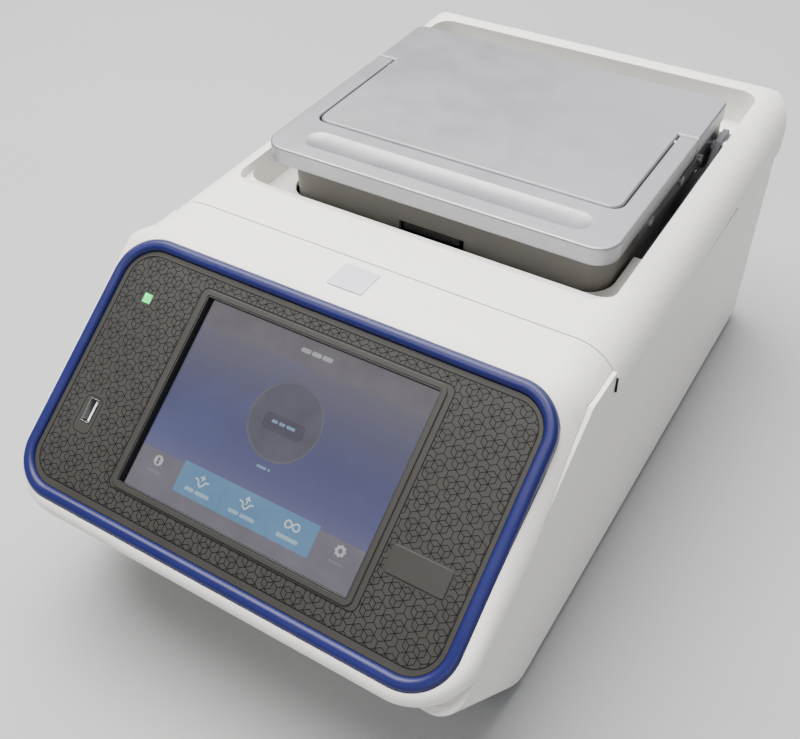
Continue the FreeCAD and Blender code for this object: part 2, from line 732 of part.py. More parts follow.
def main_board():
    """Control board on standoffs, on the right of the base."""
    board = box(-6, 120, -60, 150, 20, 21.6)
    board = board.cut(box(102, 114, -8, 3, 10, 30))
    for x in (2, 112):
        for y in (-52, 45, 142):
            board = board.fuse(rod(Vector(x, y, BASE_TOP_Z), Z_AXIS, 3.0, 20 - BASE_TOP_Z))
    return single(board)


def board_components():
    """Heat sinks, capacitors and chips soldered to the control board."""
    parts = []
    for index in range(4):
        x = 14 + index * 26
        sink = box(x, x + 16, 100, 132, 21.6, 46)
        for slot in range(3):
            sink = sink.cut(box(x + 2.6 + slot * 4.4, x + 4.8 + slot * 4.4, 99, 133, 26, 47))
        parts.append(sink)
    for index in range(5):
        parts.append(rod(Vector(20 + index * 21, 78, 21.6), Z_AXIS, 7.0, 26))
    parts.append(box(30, 62, -20, 12, 21.6, 24.4))
    parts.append(box(78, 98, -8, 12, 21.6, 24.0))
    parts.append(box(10, 100, -56, -46, 21.6, 31))
    return group(parts)


def network_socket():
    """Network socket facing the rear."""
    outer = box(NETWORK_X - 8, NETWORK_X + 8, REAR_Y - 23, REAR_Y - 1.2, 27, 40.5)
    inner = box(NETWORK_X - 5.9, NETWORK_X + 5.9, REAR_Y - 15, REAR_Y, 29.2, 37.4)
    return single(outer.cut(inner))


def rear_usb_socket():
    """Memory-stick socket facing the rear, with its tongue."""
    shell = usb_shell_at(13.1, 5.7, 17.0, 0.35)
    shell.rotate(Vector(0, 0, 0), Z_AXIS, 90)
    shell.rotate(Vector(0, 0, 0), X_AXIS, -90)
    shell = moved(shell, REAR_USB_X, REAR_Y - 1.2, 33.0)
    tongue = box(REAR_USB_X - 5.6, REAR_USB_X + 5.6, REAR_Y - 17.3, REAR_Y - 3.0, 33.6, 35.2)
    return single(shell.fuse(tongue))


# ---- fans ---------------------------------------------------------------------------------------------

def fan_frame(side):
    """Square frame of one exhaust fan with its hub and four struts."""
    x = side * FAN_X
    half = FAN_SIZE / 2
    front = FAN_BACK_Y - FAN_DEPTH
    frame = box(x - half, x + half, front, FAN_BACK_Y, FAN_Z - half, FAN_Z + half)
    frame = frame.cut(rod(Vector(x, front - 1, FAN_Z), Y_AXIS, 38.0, FAN_DEPTH + 2))
    frame = frame.fuse(rod(Vector(x, front, FAN_Z), Y_AXIS, 16.0, 4.0))
    for turn in range(4):
        strut = box(x - 2.5, x + 2.5, front, front + 3.0, FAN_Z + 15, FAN_Z + 38.6)
        strut.rotate(Vector(x, front, FAN_Z), Y_AXIS, 45 + 90 * turn)
        frame = frame.fuse(strut)
    frame = frame.fuse(rod(Vector(x, front, FAN_Z), Y_AXIS, 2.0, FAN_DEPTH - 4))
    return single(frame)


BLADE_COUNT = 7


def fan_rotor(side):
    """Hub and swept blades of one fan, running on the frame's spindle."""
    x = side * FAN_X
    front = FAN_BACK_Y - FAN_DEPTH
    hub = rod(Vector(x, front + 5.0, FAN_Z), Y_AXIS, 16.5, FAN_DEPTH - 7.5)
    rotor = hub
    for turn in range(BLADE_COUNT):
        blade = box(-1.1, 1.1, -10.5, 10.5, 12.0, 36.6)
        blade.rotate(Vector(0, 0, 0), Z_AXIS, 38)
        blade = moved(blade, x, front + 13.5, FAN_Z)
        blade.rotate(Vector(x, 0, FAN_Z), Y_AXIS, turn * 360.0 / BLADE_COUNT)
        rotor = rotor.fuse(blade)
    reach = rod(Vector(x, front + 5.0, FAN_Z), Y_AXIS, 36.6, FAN_DEPTH - 7.5)
    rotor = rotor.common(reach)
    bore = rod(Vector(x, front, FAN_Z), Y_AXIS, 2.0 + RUNNING_FIT, FAN_DEPTH - 3.0)
    return single(rotor.cut(bore))


def fan_guards():
    """Wire guards over the two fan windows."""
    guards = []
    for side in (-1, 1):
        centre = Vector(side * FAN_X, REAR_Y - 0.7, FAN_Z)
        guard = None
        for radius in (10, 17, 24, 31):
            hoop = Part.makeTorus(radius, 0.8, centre, Y_AXIS)
            guard = hoop if guard is None else guard.fuse(hoop)
        for turn in (0, 1):
            bar = rod(centre - X_AXIS * 40, X_AXIS, 0.9, 80)
            bar.rotate(centre, Y_AXIS, 45 + 90 * turn)
            guard = guard.fuse(bar)
        guards.append(guard)
    return group(guards)


# ---- bay for the block module -------------------------------------------------------------------------

def module_bay_frame():
    """Four-walled bay that guides the block module down onto its connector."""
    outer = box(-BAY_HALF_WIDTH - 2, BAY_HALF_WIDTH + 2, BAY_FRONT - 2, BAY_REAR + 2, BAY_FLOOR_Z - 2,
                RECESS_FLOOR_Z - WALL - CLEAR)
    inner = box(-BAY_HALF_WIDTH, BAY_HALF_WIDTH, BAY_FRONT, BAY_REAR, BAY_FLOOR_Z, 200)
    frame = outer.cut(inner)
    frame = frame.cut(box(-94, 94, 10, 176, 0, 100))
    for side in (-1, 1):
        x = side * FAN_X
        frame = frame.cut(box(x - 38, x + 38, 180, 200, BAY_FLOOR_Z + 4, 134))
    frame = frame.cut(box(-94, 94, -20, 0, BAY_FLOOR_Z + 4, 118))
    for x in (-108, 108):
        for y in (BAY_FRONT + 1, BAY_REAR - 7):
            frame = frame.fuse(box(x - 4, x + 4, y, y + 6, BASE_TOP_Z + CLEAR, BAY_FLOOR_Z - 2))
    return single(frame)


def docking_connector():
    """Connector in the bay that the block module plugs onto."""
    post = box(-32, 32, 178, 189, BAY_FLOOR_Z, BAY_FLOOR_Z + 11)
    tongue = box(-26, 26, 180.5, 186.5, BAY_FLOOR_Z + 11, BAY_FLOOR_Z + 18.4)
    return single(post.fuse(tongue))


# ---- block module -------------------------------------------------------------------------------------

BLOCK_HALF_X = WELL_COLUMNS * WELL_PITCH / 2
BLOCK_HALF_Y = WELL_ROWS * WELL_PITCH / 2
ZONE_GAP = 0.8
SINK_TOP_Z = BLOCK_TOP_Z - BLOCK_THICK - PELTIER_THICK


def zone_centre(index):
    """X of one thermal zone's middle."""
    return (index - (ZONES - 1) / 2) * 2 * BLOCK_HALF_X / ZONES


def sample_block():
    """Aluminium sample block in separate thermal zones, each with two columns of tapered wells."""
    zones = []
    half = BLOCK_HALF_X / ZONES - ZONE_GAP / 2
    for index in range(ZONES):
        x = zone_centre(index)
        zone = box(x - half, x + half, BLOCK_CENTRE_Y - BLOCK_HALF_Y, BLOCK_CENTRE_Y + BLOCK_HALF_Y,
                   BLOCK_TOP_Z - BLOCK_THICK, BLOCK_TOP_Z)
        wells = []
        for column in (-0.5, 0.5):
            for row in range(WELL_ROWS):
                y = BLOCK_CENTRE_Y + (row - (WELL_ROWS - 1) / 2) * WELL_PITCH
                foot = Vector(x + column * WELL_PITCH, y, BLOCK_TOP_Z - WELL_DEPTH)
                wells.append(Part.makeCone(WELL_TIP_RADIUS, WELL_MOUTH_RADIUS, WELL_DEPTH, foot, Z_AXIS))
        zones.append(zone.cut(Part.makeCompound(wells)))
    return group(zones)


def peltier_modules():
    """One thermoelectric module under each zone, with its soldered plates."""
    modules = []
    half = BLOCK_HALF_X / ZONES - 0.9
    for index in range(ZONES):
        x = zone_centre(index)
        front = BLOCK_CENTRE_Y - BLOCK_HALF_Y + 1
        rear = BLOCK_CENTRE_Y + BLOCK_HALF_Y - 1
        modules.append(box(x - half, x + half, front, rear, SINK_TOP_Z, SINK_TOP_Z + PELTIER_THICK))
    return group(modules)


def heat_sink_base():
    """Thick plate that the thermoelectric modules stand on."""
    return box(-84, 84, 12, 134, SINK_TOP_Z - SINK_BASE_THICK, SINK_TOP_Z)


def heat_sink_fins():
    """Separate fins let into the underside of the plate, running front to rear."""
    fins = []
    for index in range(FIN_COUNT):
        x = -80.6 + index * 6.2
        fins.append(box(x - 0.8, x + 0.8, 14, 132, FIN_BOTTOM_Z, SINK_TOP_Z - SINK_BASE_THICK))
    return group(fins)


def block_gasket():
    """Soft frame that seals the edge of the sample block."""
    outer = slab(BLOCK_HALF_X + 4.5, BLOCK_CENTRE_Y - BLOCK_HALF_Y - 4.5, BLOCK_CENTRE_Y + BLOCK_HALF_Y + 4.5,
                 BLOCK_TOP_Z - 9, BLOCK_TOP_Z - 1.2, 3.0)
    inner = box(-BLOCK_HALF_X, BLOCK_HALF_X,
                BLOCK_CENTRE_Y - BLOCK_HALF_Y, BLOCK_CENTRE_Y + BLOCK_HALF_Y, 0, 200)
    return single(outer.cut(inner))


def block_surround():
    """Dark deck round the sample block, inside the shroud."""
    half_width = SHROUD_HALF_WIDTH - SHROUD_WALL
    deck = slab(half_width, 12, SHROUD_REAR - SHROUD_WALL, BLOCK_TOP_Z - 6, BLOCK_TOP_Z - 2.4,
                (SHROUD_CORNER, SHROUD_CORNER, 0, 0))
    margin = 4.6
    hole = slab(BLOCK_HALF_X + margin, BLOCK_CENTRE_Y - BLOCK_HALF_Y - margin,
                BLOCK_CENTRE_Y + BLOCK_HALF_Y + margin, 0, 200, 3.1)
    return single(deck.cut(hole))


def module_chassis():
    """Open tray that carries the heat sink and the shroud, with ledges for the hinge brackets."""
    corner = SHROUD_CORNER
    outer = slab(SHROUD_HALF_WIDTH, SHROUD_FRONT + 6, 172, MODULE_FLOOR_Z, 151, (corner, corner, 0, 0))
    corner = SHROUD_CORNER - SHROUD_WALL
    inner = slab(SHROUD_HALF_WIDTH - SHROUD_WALL, SHROUD_FRONT + 6 + SHROUD_WALL, 172 - SHROUD_WALL,
                 MODULE_FLOOR_Z + SHROUD_WALL, 160, (corner, corner, 0, 0))
    tray = outer.cut(inner)
    tray = tray.cut(box(-88, 88, 0, 12, MODULE_FLOOR_Z + 6, 116))
    tray = tray.cut(box(-88, 88, 160, 180, MODULE_FLOOR_Z + 6, 134))
    for side in (-1, 1):
        low, high = (SHROUD_HALF_WIDTH, 113.0) if side > 0 else (-113.0, -SHROUD_HALF_WIDTH)
        tray = tray.fuse(box(low, high, 60, 172, 128, 140))
        low, high = (84.0, SHROUD_HALF_WIDTH - 2.4) if side > 0 else (-SHROUD_HALF_WIDTH + 2.4, -84.0)
        tray = tray.fuse(box(low, high, 12, 134, SINK_TOP_Z - SINK_BASE_THICK, SINK_TOP_Z - 3))
    return single(tray)


def module_shroud():
    """Grey moulded wall round the block, seen under the lid's front edge."""
    outer = slab(SHROUD_HALF_WIDTH, SHROUD_FRONT, SHROUD_REAR, 151.2, SHROUD_TOP_Z,
                 (SHROUD_CORNER, SHROUD_CORNER, 3, 3))
    corner = SHROUD_CORNER - SHROUD_WALL
    inner = slab(SHROUD_HALF_WIDTH - SHROUD_WALL, SHROUD_FRONT + SHROUD_WALL, SHROUD_REAR - SHROUD_WALL,
                 140, 200, (corner, corner, 1, 1))
    wall = outer.cut(inner)
    wall = wall.cut(box(-23, 19, SHROUD_FRONT - 1, SHROUD_FRONT + 4, 150, 161.5))
    gap = SHROUD_HALF_WIDTH - 4
    wall = wall.cut(box(-gap, gap, SHROUD_REAR - 6, SHROUD_REAR + 2, 168, 200))
    return single(wall)


def hinge_bracket(side):
    """Dark steel bracket that carries one lid pin, outside the lid's arm."""
    points = [(64, 140.2), (171, 140.2), (171, 158), (160, 176), (144, 176), (128, 156), (92, 150), (64, 148)]
    low, high = (109.0, 112.6) if side > 0 else (-112.6, -109.0)
    plate = side_prism(points, low, high)
    plate = plate.cut(rod(Vector(low - 1, HINGE_Y, HINGE_Z), X_AXIS, HINGE_PIN_RADIUS, high - low + 2))
    return single(plate)


def hinge_pins():
    """Two pins fixed in the brackets, on which the lid's arms turn."""
    pins = []
    for low, high in ((100.0, 112.6), (-112.6, -100.0)):
        pin = rod(Vector(low, HINGE_Y, HINGE_Z), X_AXIS, HINGE_PIN_RADIUS, high - low)
        outside = 112.6 if low > 0 else -114.2
        head = rod(Vector(outside, HINGE_Y, HINGE_Z), X_AXIS, 6.0, 1.6)
        pins.append(pin.fuse(head))
    return group(pins)


def module_plug():
    """Plug under the rear of the module that meets the docking connector."""
    body = box(-34, 34, 177.6, 189.4, 82, 94)
    neck = box(-34, 34, 172, 178, 84, 94)
    return single(body.fuse(neck).cut(box(-26.4, 26.4, 180.1, 186.9, 70, 89)))


LATCH_X = 76.0


def latch_strikes():
    """Two strike blocks inside the shroud's front wall."""
    strikes = []
    for x in (-LATCH_X, LATCH_X):
        strikes.append(box(x - 6, x + 6, SHROUD_FRONT + SHROUD_WALL, 3.6, 160, 166))
    return group(strikes)


def module_screws():
    """Cap screws that hold the hinge brackets and the deck."""
    screws = []
    for side in (-1, 1):
        for y in (80.0, 118.0, 164.0):
            screws.append(cap_screw(side * 112.6, y, 145.0, X_AXIS * side, 2.6, 1.6, 1.5, 3.6))
        for y in (18.0, 126.0):
            screws.append(cap_screw(side * 90.0, y, BLOCK_TOP_Z - 2.4, Z_AXIS, 2.6, 1.8, 1.5, 3.6))
    return group(screws)


def release_button():
    """Button in the shroud's slot that frees the module; it is pressed inward."""
    face = box(-20, 16, SHROUD_FRONT + 0.6, SHROUD_FRONT + 4.4, 156.4, 160.6)
    stem = box(-6, 2, SHROUD_FRONT + 4.4, SHROUD_FRONT + 10.0, 157.0, 160.0)
    return single(face.fuse(stem))


# ---- lid ----------------------------------------------------------------------------------------------

HANDLE_INNER = LID_HALF_WIDTH - HANDLE_ARM
HANDLE_INNER_CORNER = 7.0
HANDLE_BAR_REAR = LID_FRONT + HANDLE_FRONT_BAR


def lid_outline(low, high):
    """Full plan of the lid between two heights."""
    corners = (LID_CORNER, LID_CORNER, LID_REAR_CORNER, LID_REAR_CORNER)
    return slab(LID_HALF_WIDTH, LID_FRONT, LID_REAR, low, high, corners)


def handle_plan(grow, low, high):
    """Plan of the space inside the U-shaped handle, shrunk or grown."""
    return slab(HANDLE_INNER + grow, HANDLE_BAR_REAR - grow, HANDLE_ARM_END + 60, low, high,
                (HANDLE_INNER_CORNER, HANDLE_INNER_CORNER, 0, 0))


def lid_cover():
    """Silver top panel of the lid, behind and between the handle's arms."""
    plate = lid_outline(LID_BOTTOM_Z, LID_TOP_Z)
    tongue = plate.common(handle_plan(-LID_GAP, 100, 300))
    rear = plate.common(box(-200, 200, HANDLE_ARM_END + HANDLE_END_GAP, 300, 100, 300))
    cover = tongue.fuse(rear).removeSplitter()
    upper = edges_where(cover, lambda p, d: p.z > LID_TOP_Z - 0.01)
    cover = cover.makeChamfer(0.9, upper)
    cavity = slab(HANDLE_INNER - 4, HANDLE_BAR_REAR + 4, LID_REAR - 4, LID_BOTTOM_Z - 1, LID_TOP_Z - 3, 4)
    start = Vector(-HANDLE_INNER, HANDLE_PIVOT_Y, HANDLE_PIVOT_Z)
    pins = rod(start, X_AXIS, HANDLE_PIN_RADIUS, 2 * HANDLE_INNER)
    return single(cover.cut(cavity).cut(pins))


SCOOP_REACH = 80.0         # straight half-length of the scoop in the front bar
SCOOP_RADIUS = 40.0
SCOOP_DEPTH = 0.9


def thumb_scoop():
    """Long shallow dish with round ends, in the top of the front bar."""
    y = LID_FRONT + 19
    z = LID_TOP_Z + SCOOP_RADIUS - SCOOP_DEPTH
    tool = rod(Vector(-SCOOP_REACH, y, z), X_AXIS, SCOOP_RADIUS, 2 * SCOOP_REACH)
    for x in (-SCOOP_REACH, SCOOP_REACH):
        tool = tool.fuse(Part.makeSphere(SCOOP_RADIUS, Vector(x, y, z)))
    return tool


def lid_handle():
    """U-shaped silver front edge and arms of the lid: lifting it frees the latch."""
    plate = lid_outline(LID_BOTTOM_Z, LID_TOP_Z)
    band = plate.cut(handle_plan(0, 100, 300)).common(box(-200, 200, -200, HANDLE_ARM_END, 100, 300))
    upper = edges_where(band, lambda p, d: p.z > LID_TOP_Z - 0.01 and p.y < HANDLE_ARM_END - 0.5)
    band = band.makeFillet(1.2, upper)
    band = band.cut(thumb_scoop())
    underside = slab(LID_HALF_WIDTH - 4, LID_FRONT + 4, HANDLE_BAR_REAR - 4,
                     LID_BOTTOM_Z - 1, LID_BOTTOM_Z + 5, 8)
    band = band.cut(underside)
    heel = [(106.5, LID_BOTTOM_Z - 0.1), (HANDLE_ARM_END + 1, LID_BOTTOM_Z + 2.4),
            (HANDLE_ARM_END + 1, LID_BOTTOM_Z - 0.1)]
    band = band.cut(side_prism(heel, -200, 200))
    reach = HANDLE_INNER + 8.0
    start = Vector(-reach, HANDLE_PIVOT_Y, HANDLE_PIVOT_Z)
    return single(band.cut(rod(start, X_AXIS, HANDLE_PIN_RADIUS + RUNNING_FIT, 2 * reach)))


def lid_arm(side):
    """Dark steel arm under one edge of the lid, from the latch to the hinge pin."""
    points = [(30, 173), (118, 168), (140, 158.5), (158, 158.5), (163, 166), (160, 181.8)]
    points += [(120, 181.8), (116, 177), (96, 177), (92, 181.8), (30, 181.8)]
    low, high = (102.2, 106.2) if side > 0 else (-106.2, -102.2)
    plate = side_prism(points, low, high)
    start = Vector(low - 1, HINGE_Y, HINGE_Z)
    plate = plate.cut(rod(start, X_AXIS, HINGE_PIN_RADIUS + RUNNING_FIT, high - low + 2))
    return single(plate)


def handle_pivots():
    """Two pins pressed into the lid cover's sides, on which the handle's arms turn."""
    pins = []
    for low in (HANDLE_INNER - 4.8, -HANDLE_INNER - 7.0):
        pins.append(rod(Vector(low, HANDLE_PIVOT_Y, HANDLE_PIVOT_Z), X_AXIS, HANDLE_PIN_RADIUS, 11.8))
    return group(pins)


UNDERFRAME_HALF_WIDTH = 95.8
UNDERFRAME_FRONT = 16.0


def lid_underframe():
    """Grey inner frame of the lid, joined to the two arms, with two bearings for the hook shaft."""
    top = LID_BOTTOM_Z - 0.3
    outer = slab(UNDERFRAME_HALF_WIDTH, UNDERFRAME_FRONT, 142, 171, top, (8, 8, 3, 3))
    inner = slab(UNDERFRAME_HALF_WIDTH - 3, UNDERFRAME_FRONT + 3, 139, 160, top - 3, (5, 5, 2, 2))
    frame = outer.cut(inner)
    frame = frame.fuse(box(-102.1, 102.1, 147.5, 158, 178.4, top))
    frame = frame.fuse(box(-80, 80, 138, 149, 178.4, top))
    for x, y in guide_posts():
        frame = frame.cut(rod(Vector(x, y, 160), Z_AXIS, GUIDE_RADIUS + RUNNING_FIT, 40))
    for x in (-LATCH_X + 12, LATCH_X - 12):
        bearing = box(x - 4, x + 4, 4.0, UNDERFRAME_FRONT + 1, 172.5, top)
        bore = rod(Vector(x - 5, HOOK_Y, HOOK_Z), X_AXIS, HOOK_SHAFT_RADIUS + RUNNING_FIT, 10)
        frame = frame.fuse(bearing.cut(bore))
    return single(frame)


GUIDE_RADIUS = 5.0


def guide_posts():
    """Plan positions of the platen carrier's four guide posts."""
    return [(x, y) for x in (-52, 52) for y in (BLOCK_CENTRE_Y - 34, BLOCK_CENTRE_Y + 34)]


PLATEN_HALF = (62.0, 44.0)


def heated_platen():
    """Heated plate that presses on the tube caps."""
    low = PLATEN_BOTTOM_Z
    front = BLOCK_CENTRE_Y - PLATEN_HALF[1]
    rear = BLOCK_CENTRE_Y + PLATEN_HALF[1]
    return slab(PLATEN_HALF[0], front, rear, low, low + PLATEN_THICK, 4)


def platen_carrier():
    """Insulating carrier of the heated plate, guided inside the lid's frame."""
    low = PLATEN_BOTTOM_Z + PLATEN_THICK
    front = BLOCK_CENTRE_Y - PLATEN_HALF[1] - 6
    rear = BLOCK_CENTRE_Y + PLATEN_HALF[1] + 6
    plate = slab(PLATEN_HALF[0] + 8, front, rear, low, low + 8.5, 8)
    for x, y in guide_posts():
        plate = plate.fuse(rod(Vector(x, y, low), Z_AXIS, GUIDE_RADIUS, 21.5))
    return single(plate)


HOOK_Y = 8.0
HOOK_Z = 176.5
HOOK_SHAFT_RADIUS = 2.2
HOOK_OUTLINE = ((5.4, 178.6), (10.4, 178.6), (10.4, 160.5), (4.2, 160.5), (4.2, 163.6), (6.0, 165.6))


def latch_hooks():
    """Cross shaft behind the lid's front edge with a hook at each end."""
    shaft = rod(Vector(-LATCH_X - 5, HOOK_Y, HOOK_Z), X_AXIS, HOOK_SHAFT_RADIUS, 2 * LATCH_X + 10)
    for x in (-LATCH_X, LATCH_X):
        shaft = shaft.fuse(side_prism(list(HOOK_OUTLINE), x - 3, x + 3))
    return single(shaft)


def lid_screws():
    """Cap screws on the outside of the lid arms."""
    screws = []
    for side in (-1, 1):
        for y, z in ((92.0, 176.0), (44.0, 177.4), (126.0, 172.0)):
            screws.append(cap_screw(side * 106.2, y, z, X_AXIS * side, 2.8, 1.5, 1.5, 3.8))
    return group(screws)


def enclosure_screws():
    """Screws of the rear panel and the base."""
    screws = []
    for x in (-106.0, 106.0):
        for z in (14.4, 132.0):
            screws.append(cap_screw(x, REAR_Y - 1.8, z, Y_AXIS, 2.6, 1.6, 1.4, 1.9))
    return group(screws)


# ---- build --------------------------------------------------------------------------------------------

def build():
    """All nodes, name to shape."""
    form = cover_form(0)
    inner = cover_form(WALL)
    lower = lower_form(0)
    shell = lower_shell(lower, lower_form(WALL))
    return {
        "front_cover": front_cover(form, inner),
        "top_cover": top_cover(form, inner),
        "side_panel_left": side_panel(shell, -1),
        "side_panel_right": side_panel(shell, 1),
        "chin_cover": chin_cover(shell),
        "rear_panel": rear_panel(),
        "socket_panel": socket_panel(),
        "base_tray": base_tray(lower),
        "rubber_feet": rubber_feet(),
        "enclosure_screws": enclosure_screws(),
        "badge_plate": badge_plate(),
        "trim_ring": trim_ring(),
        "display_bezel": display_bezel(),
        "touch_glass": touch_glass(),
        "lcd_module": lcd_module(),
        "display_board": display_board(),
        "display_bracket": display_bracket(),
        "status_light": status_light(),
        "front_usb_shell": front_usb_shell(),
        "front_usb_tongue": front_usb_tongue(),
        "power_supply": power_supply(),
        "main_board": main_board(),
        "board_components": board_components(),
        "power_inlet": power_inlet(),
        "inlet_blades": inlet_blades(),
        "power_rocker": power_rocker(),
        "fuse_drawer": fuse_drawer(),
        "rear_sockets": group([network_socket(), rear_usb_socket()]),
        "fan_frame_left": fan_frame(-1),
        "fan_frame_right": fan_frame(1),
        "fan_rotor_left": fan_rotor(-1),
        "fan_rotor_right": fan_rotor(1),
        "fan_guards": fan_guards(),
        "module_bay_frame": module_bay_frame(),
        "docking_connector": docking_connector(),
        "module_chassis": module_chassis(),
        "module_shroud": module_shroud(),
        "module_plug": module_plug(),
        "module_screws": module_screws(),
        "heat_sink_base": heat_sink_base(),
        "heat_sink_fins": heat_sink_fins(),
        "peltier_modules": peltier_modules(),
        "sample_block": sample_block(),
        "block_gasket": block_gasket(),
        "block_surround": block_surround(),
        "hinge_bracket_left": hinge_bracket(-1),
        "hinge_bracket_right": hinge_bracket(1),
        "hinge_pins": hinge_pins(),
        "latch_strikes": latch_strikes(),
        "release_button": release_button(),
        "lid_cover": lid_cover(),
        "lid_underframe": lid_underframe(),
        "lid_arm_left": lid_arm(-1),
        "lid_arm_right": lid_arm(1),
        "lid_screws": lid_screws(),
        "latch_hooks": latch_hooks(),
        "lid_handle": lid_handle(),
        "handle_pivots": handle_pivots(),
        "heated_platen": heated_platen(),
        "platen_carrier": platen_carrier(),
    }


os.makedirs("parts", exist_ok=True)
for node, shape in build().items():
    shape.exportStep("parts/" + node + ".step")
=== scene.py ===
"""Looks of the thermal cycler: materials for the CAD nodes, the picture on the touch display, the
bezel's printed line pattern, and a plain studio. Metres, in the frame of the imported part."""
import json
import math

import bmesh
import bpy
from mathutils import Matrix, Vector


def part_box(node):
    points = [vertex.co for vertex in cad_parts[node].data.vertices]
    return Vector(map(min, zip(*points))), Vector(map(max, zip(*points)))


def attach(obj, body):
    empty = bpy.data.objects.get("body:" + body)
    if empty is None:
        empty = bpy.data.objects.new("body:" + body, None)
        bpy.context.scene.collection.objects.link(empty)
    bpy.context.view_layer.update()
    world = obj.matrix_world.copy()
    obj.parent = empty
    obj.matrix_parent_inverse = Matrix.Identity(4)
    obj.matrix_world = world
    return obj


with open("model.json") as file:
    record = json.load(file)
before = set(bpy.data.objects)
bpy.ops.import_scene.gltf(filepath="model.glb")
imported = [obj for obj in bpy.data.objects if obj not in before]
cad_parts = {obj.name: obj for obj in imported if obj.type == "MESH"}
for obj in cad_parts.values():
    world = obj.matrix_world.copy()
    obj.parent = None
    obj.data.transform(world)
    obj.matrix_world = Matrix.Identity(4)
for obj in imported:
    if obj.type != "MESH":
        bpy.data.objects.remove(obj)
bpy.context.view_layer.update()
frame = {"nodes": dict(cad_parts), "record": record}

MM = 0.001

# ---- the sloping panel: x across, v up the slope, out away from its face, all in millimetres -----------

PANEL_SLOPE = math.radians(34.6)
PANEL_RIGHT = Vector((1, 0, 0))
PANEL_UP = Vector((0, math.cos(PANEL_SLOPE), math.sin(PANEL_SLOPE)))
PANEL_OUT = Vector((0, -math.sin(PANEL_SLOPE), math.cos(PANEL_SLOPE)))
GLASS_FACE = -3.8          # front of the touch glass, behind the panel face
GLASS_MIDDLE = -4.35
GLASS_LOW, GLASS_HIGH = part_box("touch_glass")
PANEL_ORIGIN = (GLASS_LOW + GLASS_HIGH) / 2 - PANEL_OUT * (GLASS_MIDDLE * MM)
BEZEL_FACE = -0.8


def on_panel(x, v, out):
    """Point in the row frame of a place on the panel."""
    return PANEL_ORIGIN + PANEL_RIGHT * (x * MM) + PANEL_UP * (v * MM) + PANEL_OUT * (out * MM)


# ---- mesh building -------------------------------------------------------------------------------------

def prism(bm, outline, low, high):
    """Closed plate on the panel from a counter-clockwise outline."""
    bottom = [bm.verts.new(on_panel(x, v, low)) for x, v in outline]
    top = [bm.verts.new(on_panel(x, v, high)) for x, v in outline]
    bm.faces.new(list(reversed(bottom)))
    bm.faces.new(top)
    count = len(outline)
    for i in range(count):
        j = (i + 1) % count
        bm.faces.new((bottom[i], bottom[j], top[j], top[i]))


def ribbon(bm, path, width, low, high, closed=False):
    """Closed strip of even width along a path, with mitred corners."""
    count = len(path)
    left, right = [], []
    for i in range(count):
        here = Vector(path[i])
        before = Vector(path[i - 1]) if (closed or i > 0) else None
        after = Vector(path[(i + 1) % count]) if (closed or i < count - 1) else None
        d0 = (here - before).normalized() if before is not None else (after - here).normalized()
        d1 = (after - here).normalized() if after is not None else d0
        side = Vector((-(d0.y + d1.y), d0.x + d1.x))
        side.normalize()
        stretch = width / 2 / max(0.35, side.dot(Vector((-d0.y, d0.x))))
        left.append(here + side * stretch)
        right.append(here - side * stretch)
    rings = []
    for i in range(count):
        rings.append((
            bm.verts.new(on_panel(left[i].x, left[i].y, low)),
            bm.verts.new(on_panel(right[i].x, right[i].y, low)),
            bm.verts.new(on_panel(right[i].x, right[i].y, high)),
            bm.verts.new(on_panel(left[i].x, left[i].y, high)),
        ))
    spans = count if closed else count - 1
    for i in range(spans):
        a, b = rings[i], rings[(i + 1) % count]
        for k in range(4):
            n = (k + 1) % 4
            bm.faces.new((a[k], b[k], b[n], a[n]))
    if not closed:
        bm.faces.new(rings[0])
        bm.faces.new(tuple(reversed(rings[-1])))


def circle(x, v, radius, steps=32):
    angles = [2 * math.pi * i / steps for i in range(steps)]
    return [(x + radius * math.cos(a), v + radius * math.sin(a)) for a in angles]


def arc(x, v, radius, start, end, steps=12):
    points = []
    for i in range(steps + 1):
        angle = math.radians(start + (end - start) * i / steps)
        points.append((x + radius * math.cos(angle), v + radius * math.sin(angle)))
    return points


def rounded(x0, x1, v0, v1, radius, steps=8):
    """Counter-clockwise rounded rectangle."""
    points = []
    for cx, cv, start in ((x1 - radius, v1 - radius, 0), (x0 + radius, v1 - radius, 90),
                          (x0 + radius, v0 + radius, 180), (x1 - radius, v0 + radius, 270)):
        points += arc(cx, cv, radius, start, start + 90, steps)
    return points


def piece(name, build, material):
    """New object of the enclosure from a function that fills a mesh."""
    bm = bmesh.new()
    build(bm)
    bmesh.ops.recalc_face_normals(bm, faces=bm.faces)
    mesh = bpy.data.meshes.new(name)
    bm.to_mesh(mesh)
    bm.free()
    mesh.materials.append(material)
    obj = bpy.data.objects.new(name, mesh)
    bpy.context.scene.collection.objects.link(obj)
    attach(obj, "base_unit")
    return obj


# ---- materials -----------------------------------------------------------------------------------------

def srgb(red, green, blue):
    """Linear colour from 0-255 display values."""
    def channel(value):
        value = value / 255
        return value / 12.92 if value <= 0.04045 else ((value + 0.055) / 1.055) ** 2.4
    return (channel(red), channel(green), channel(blue), 1.0)


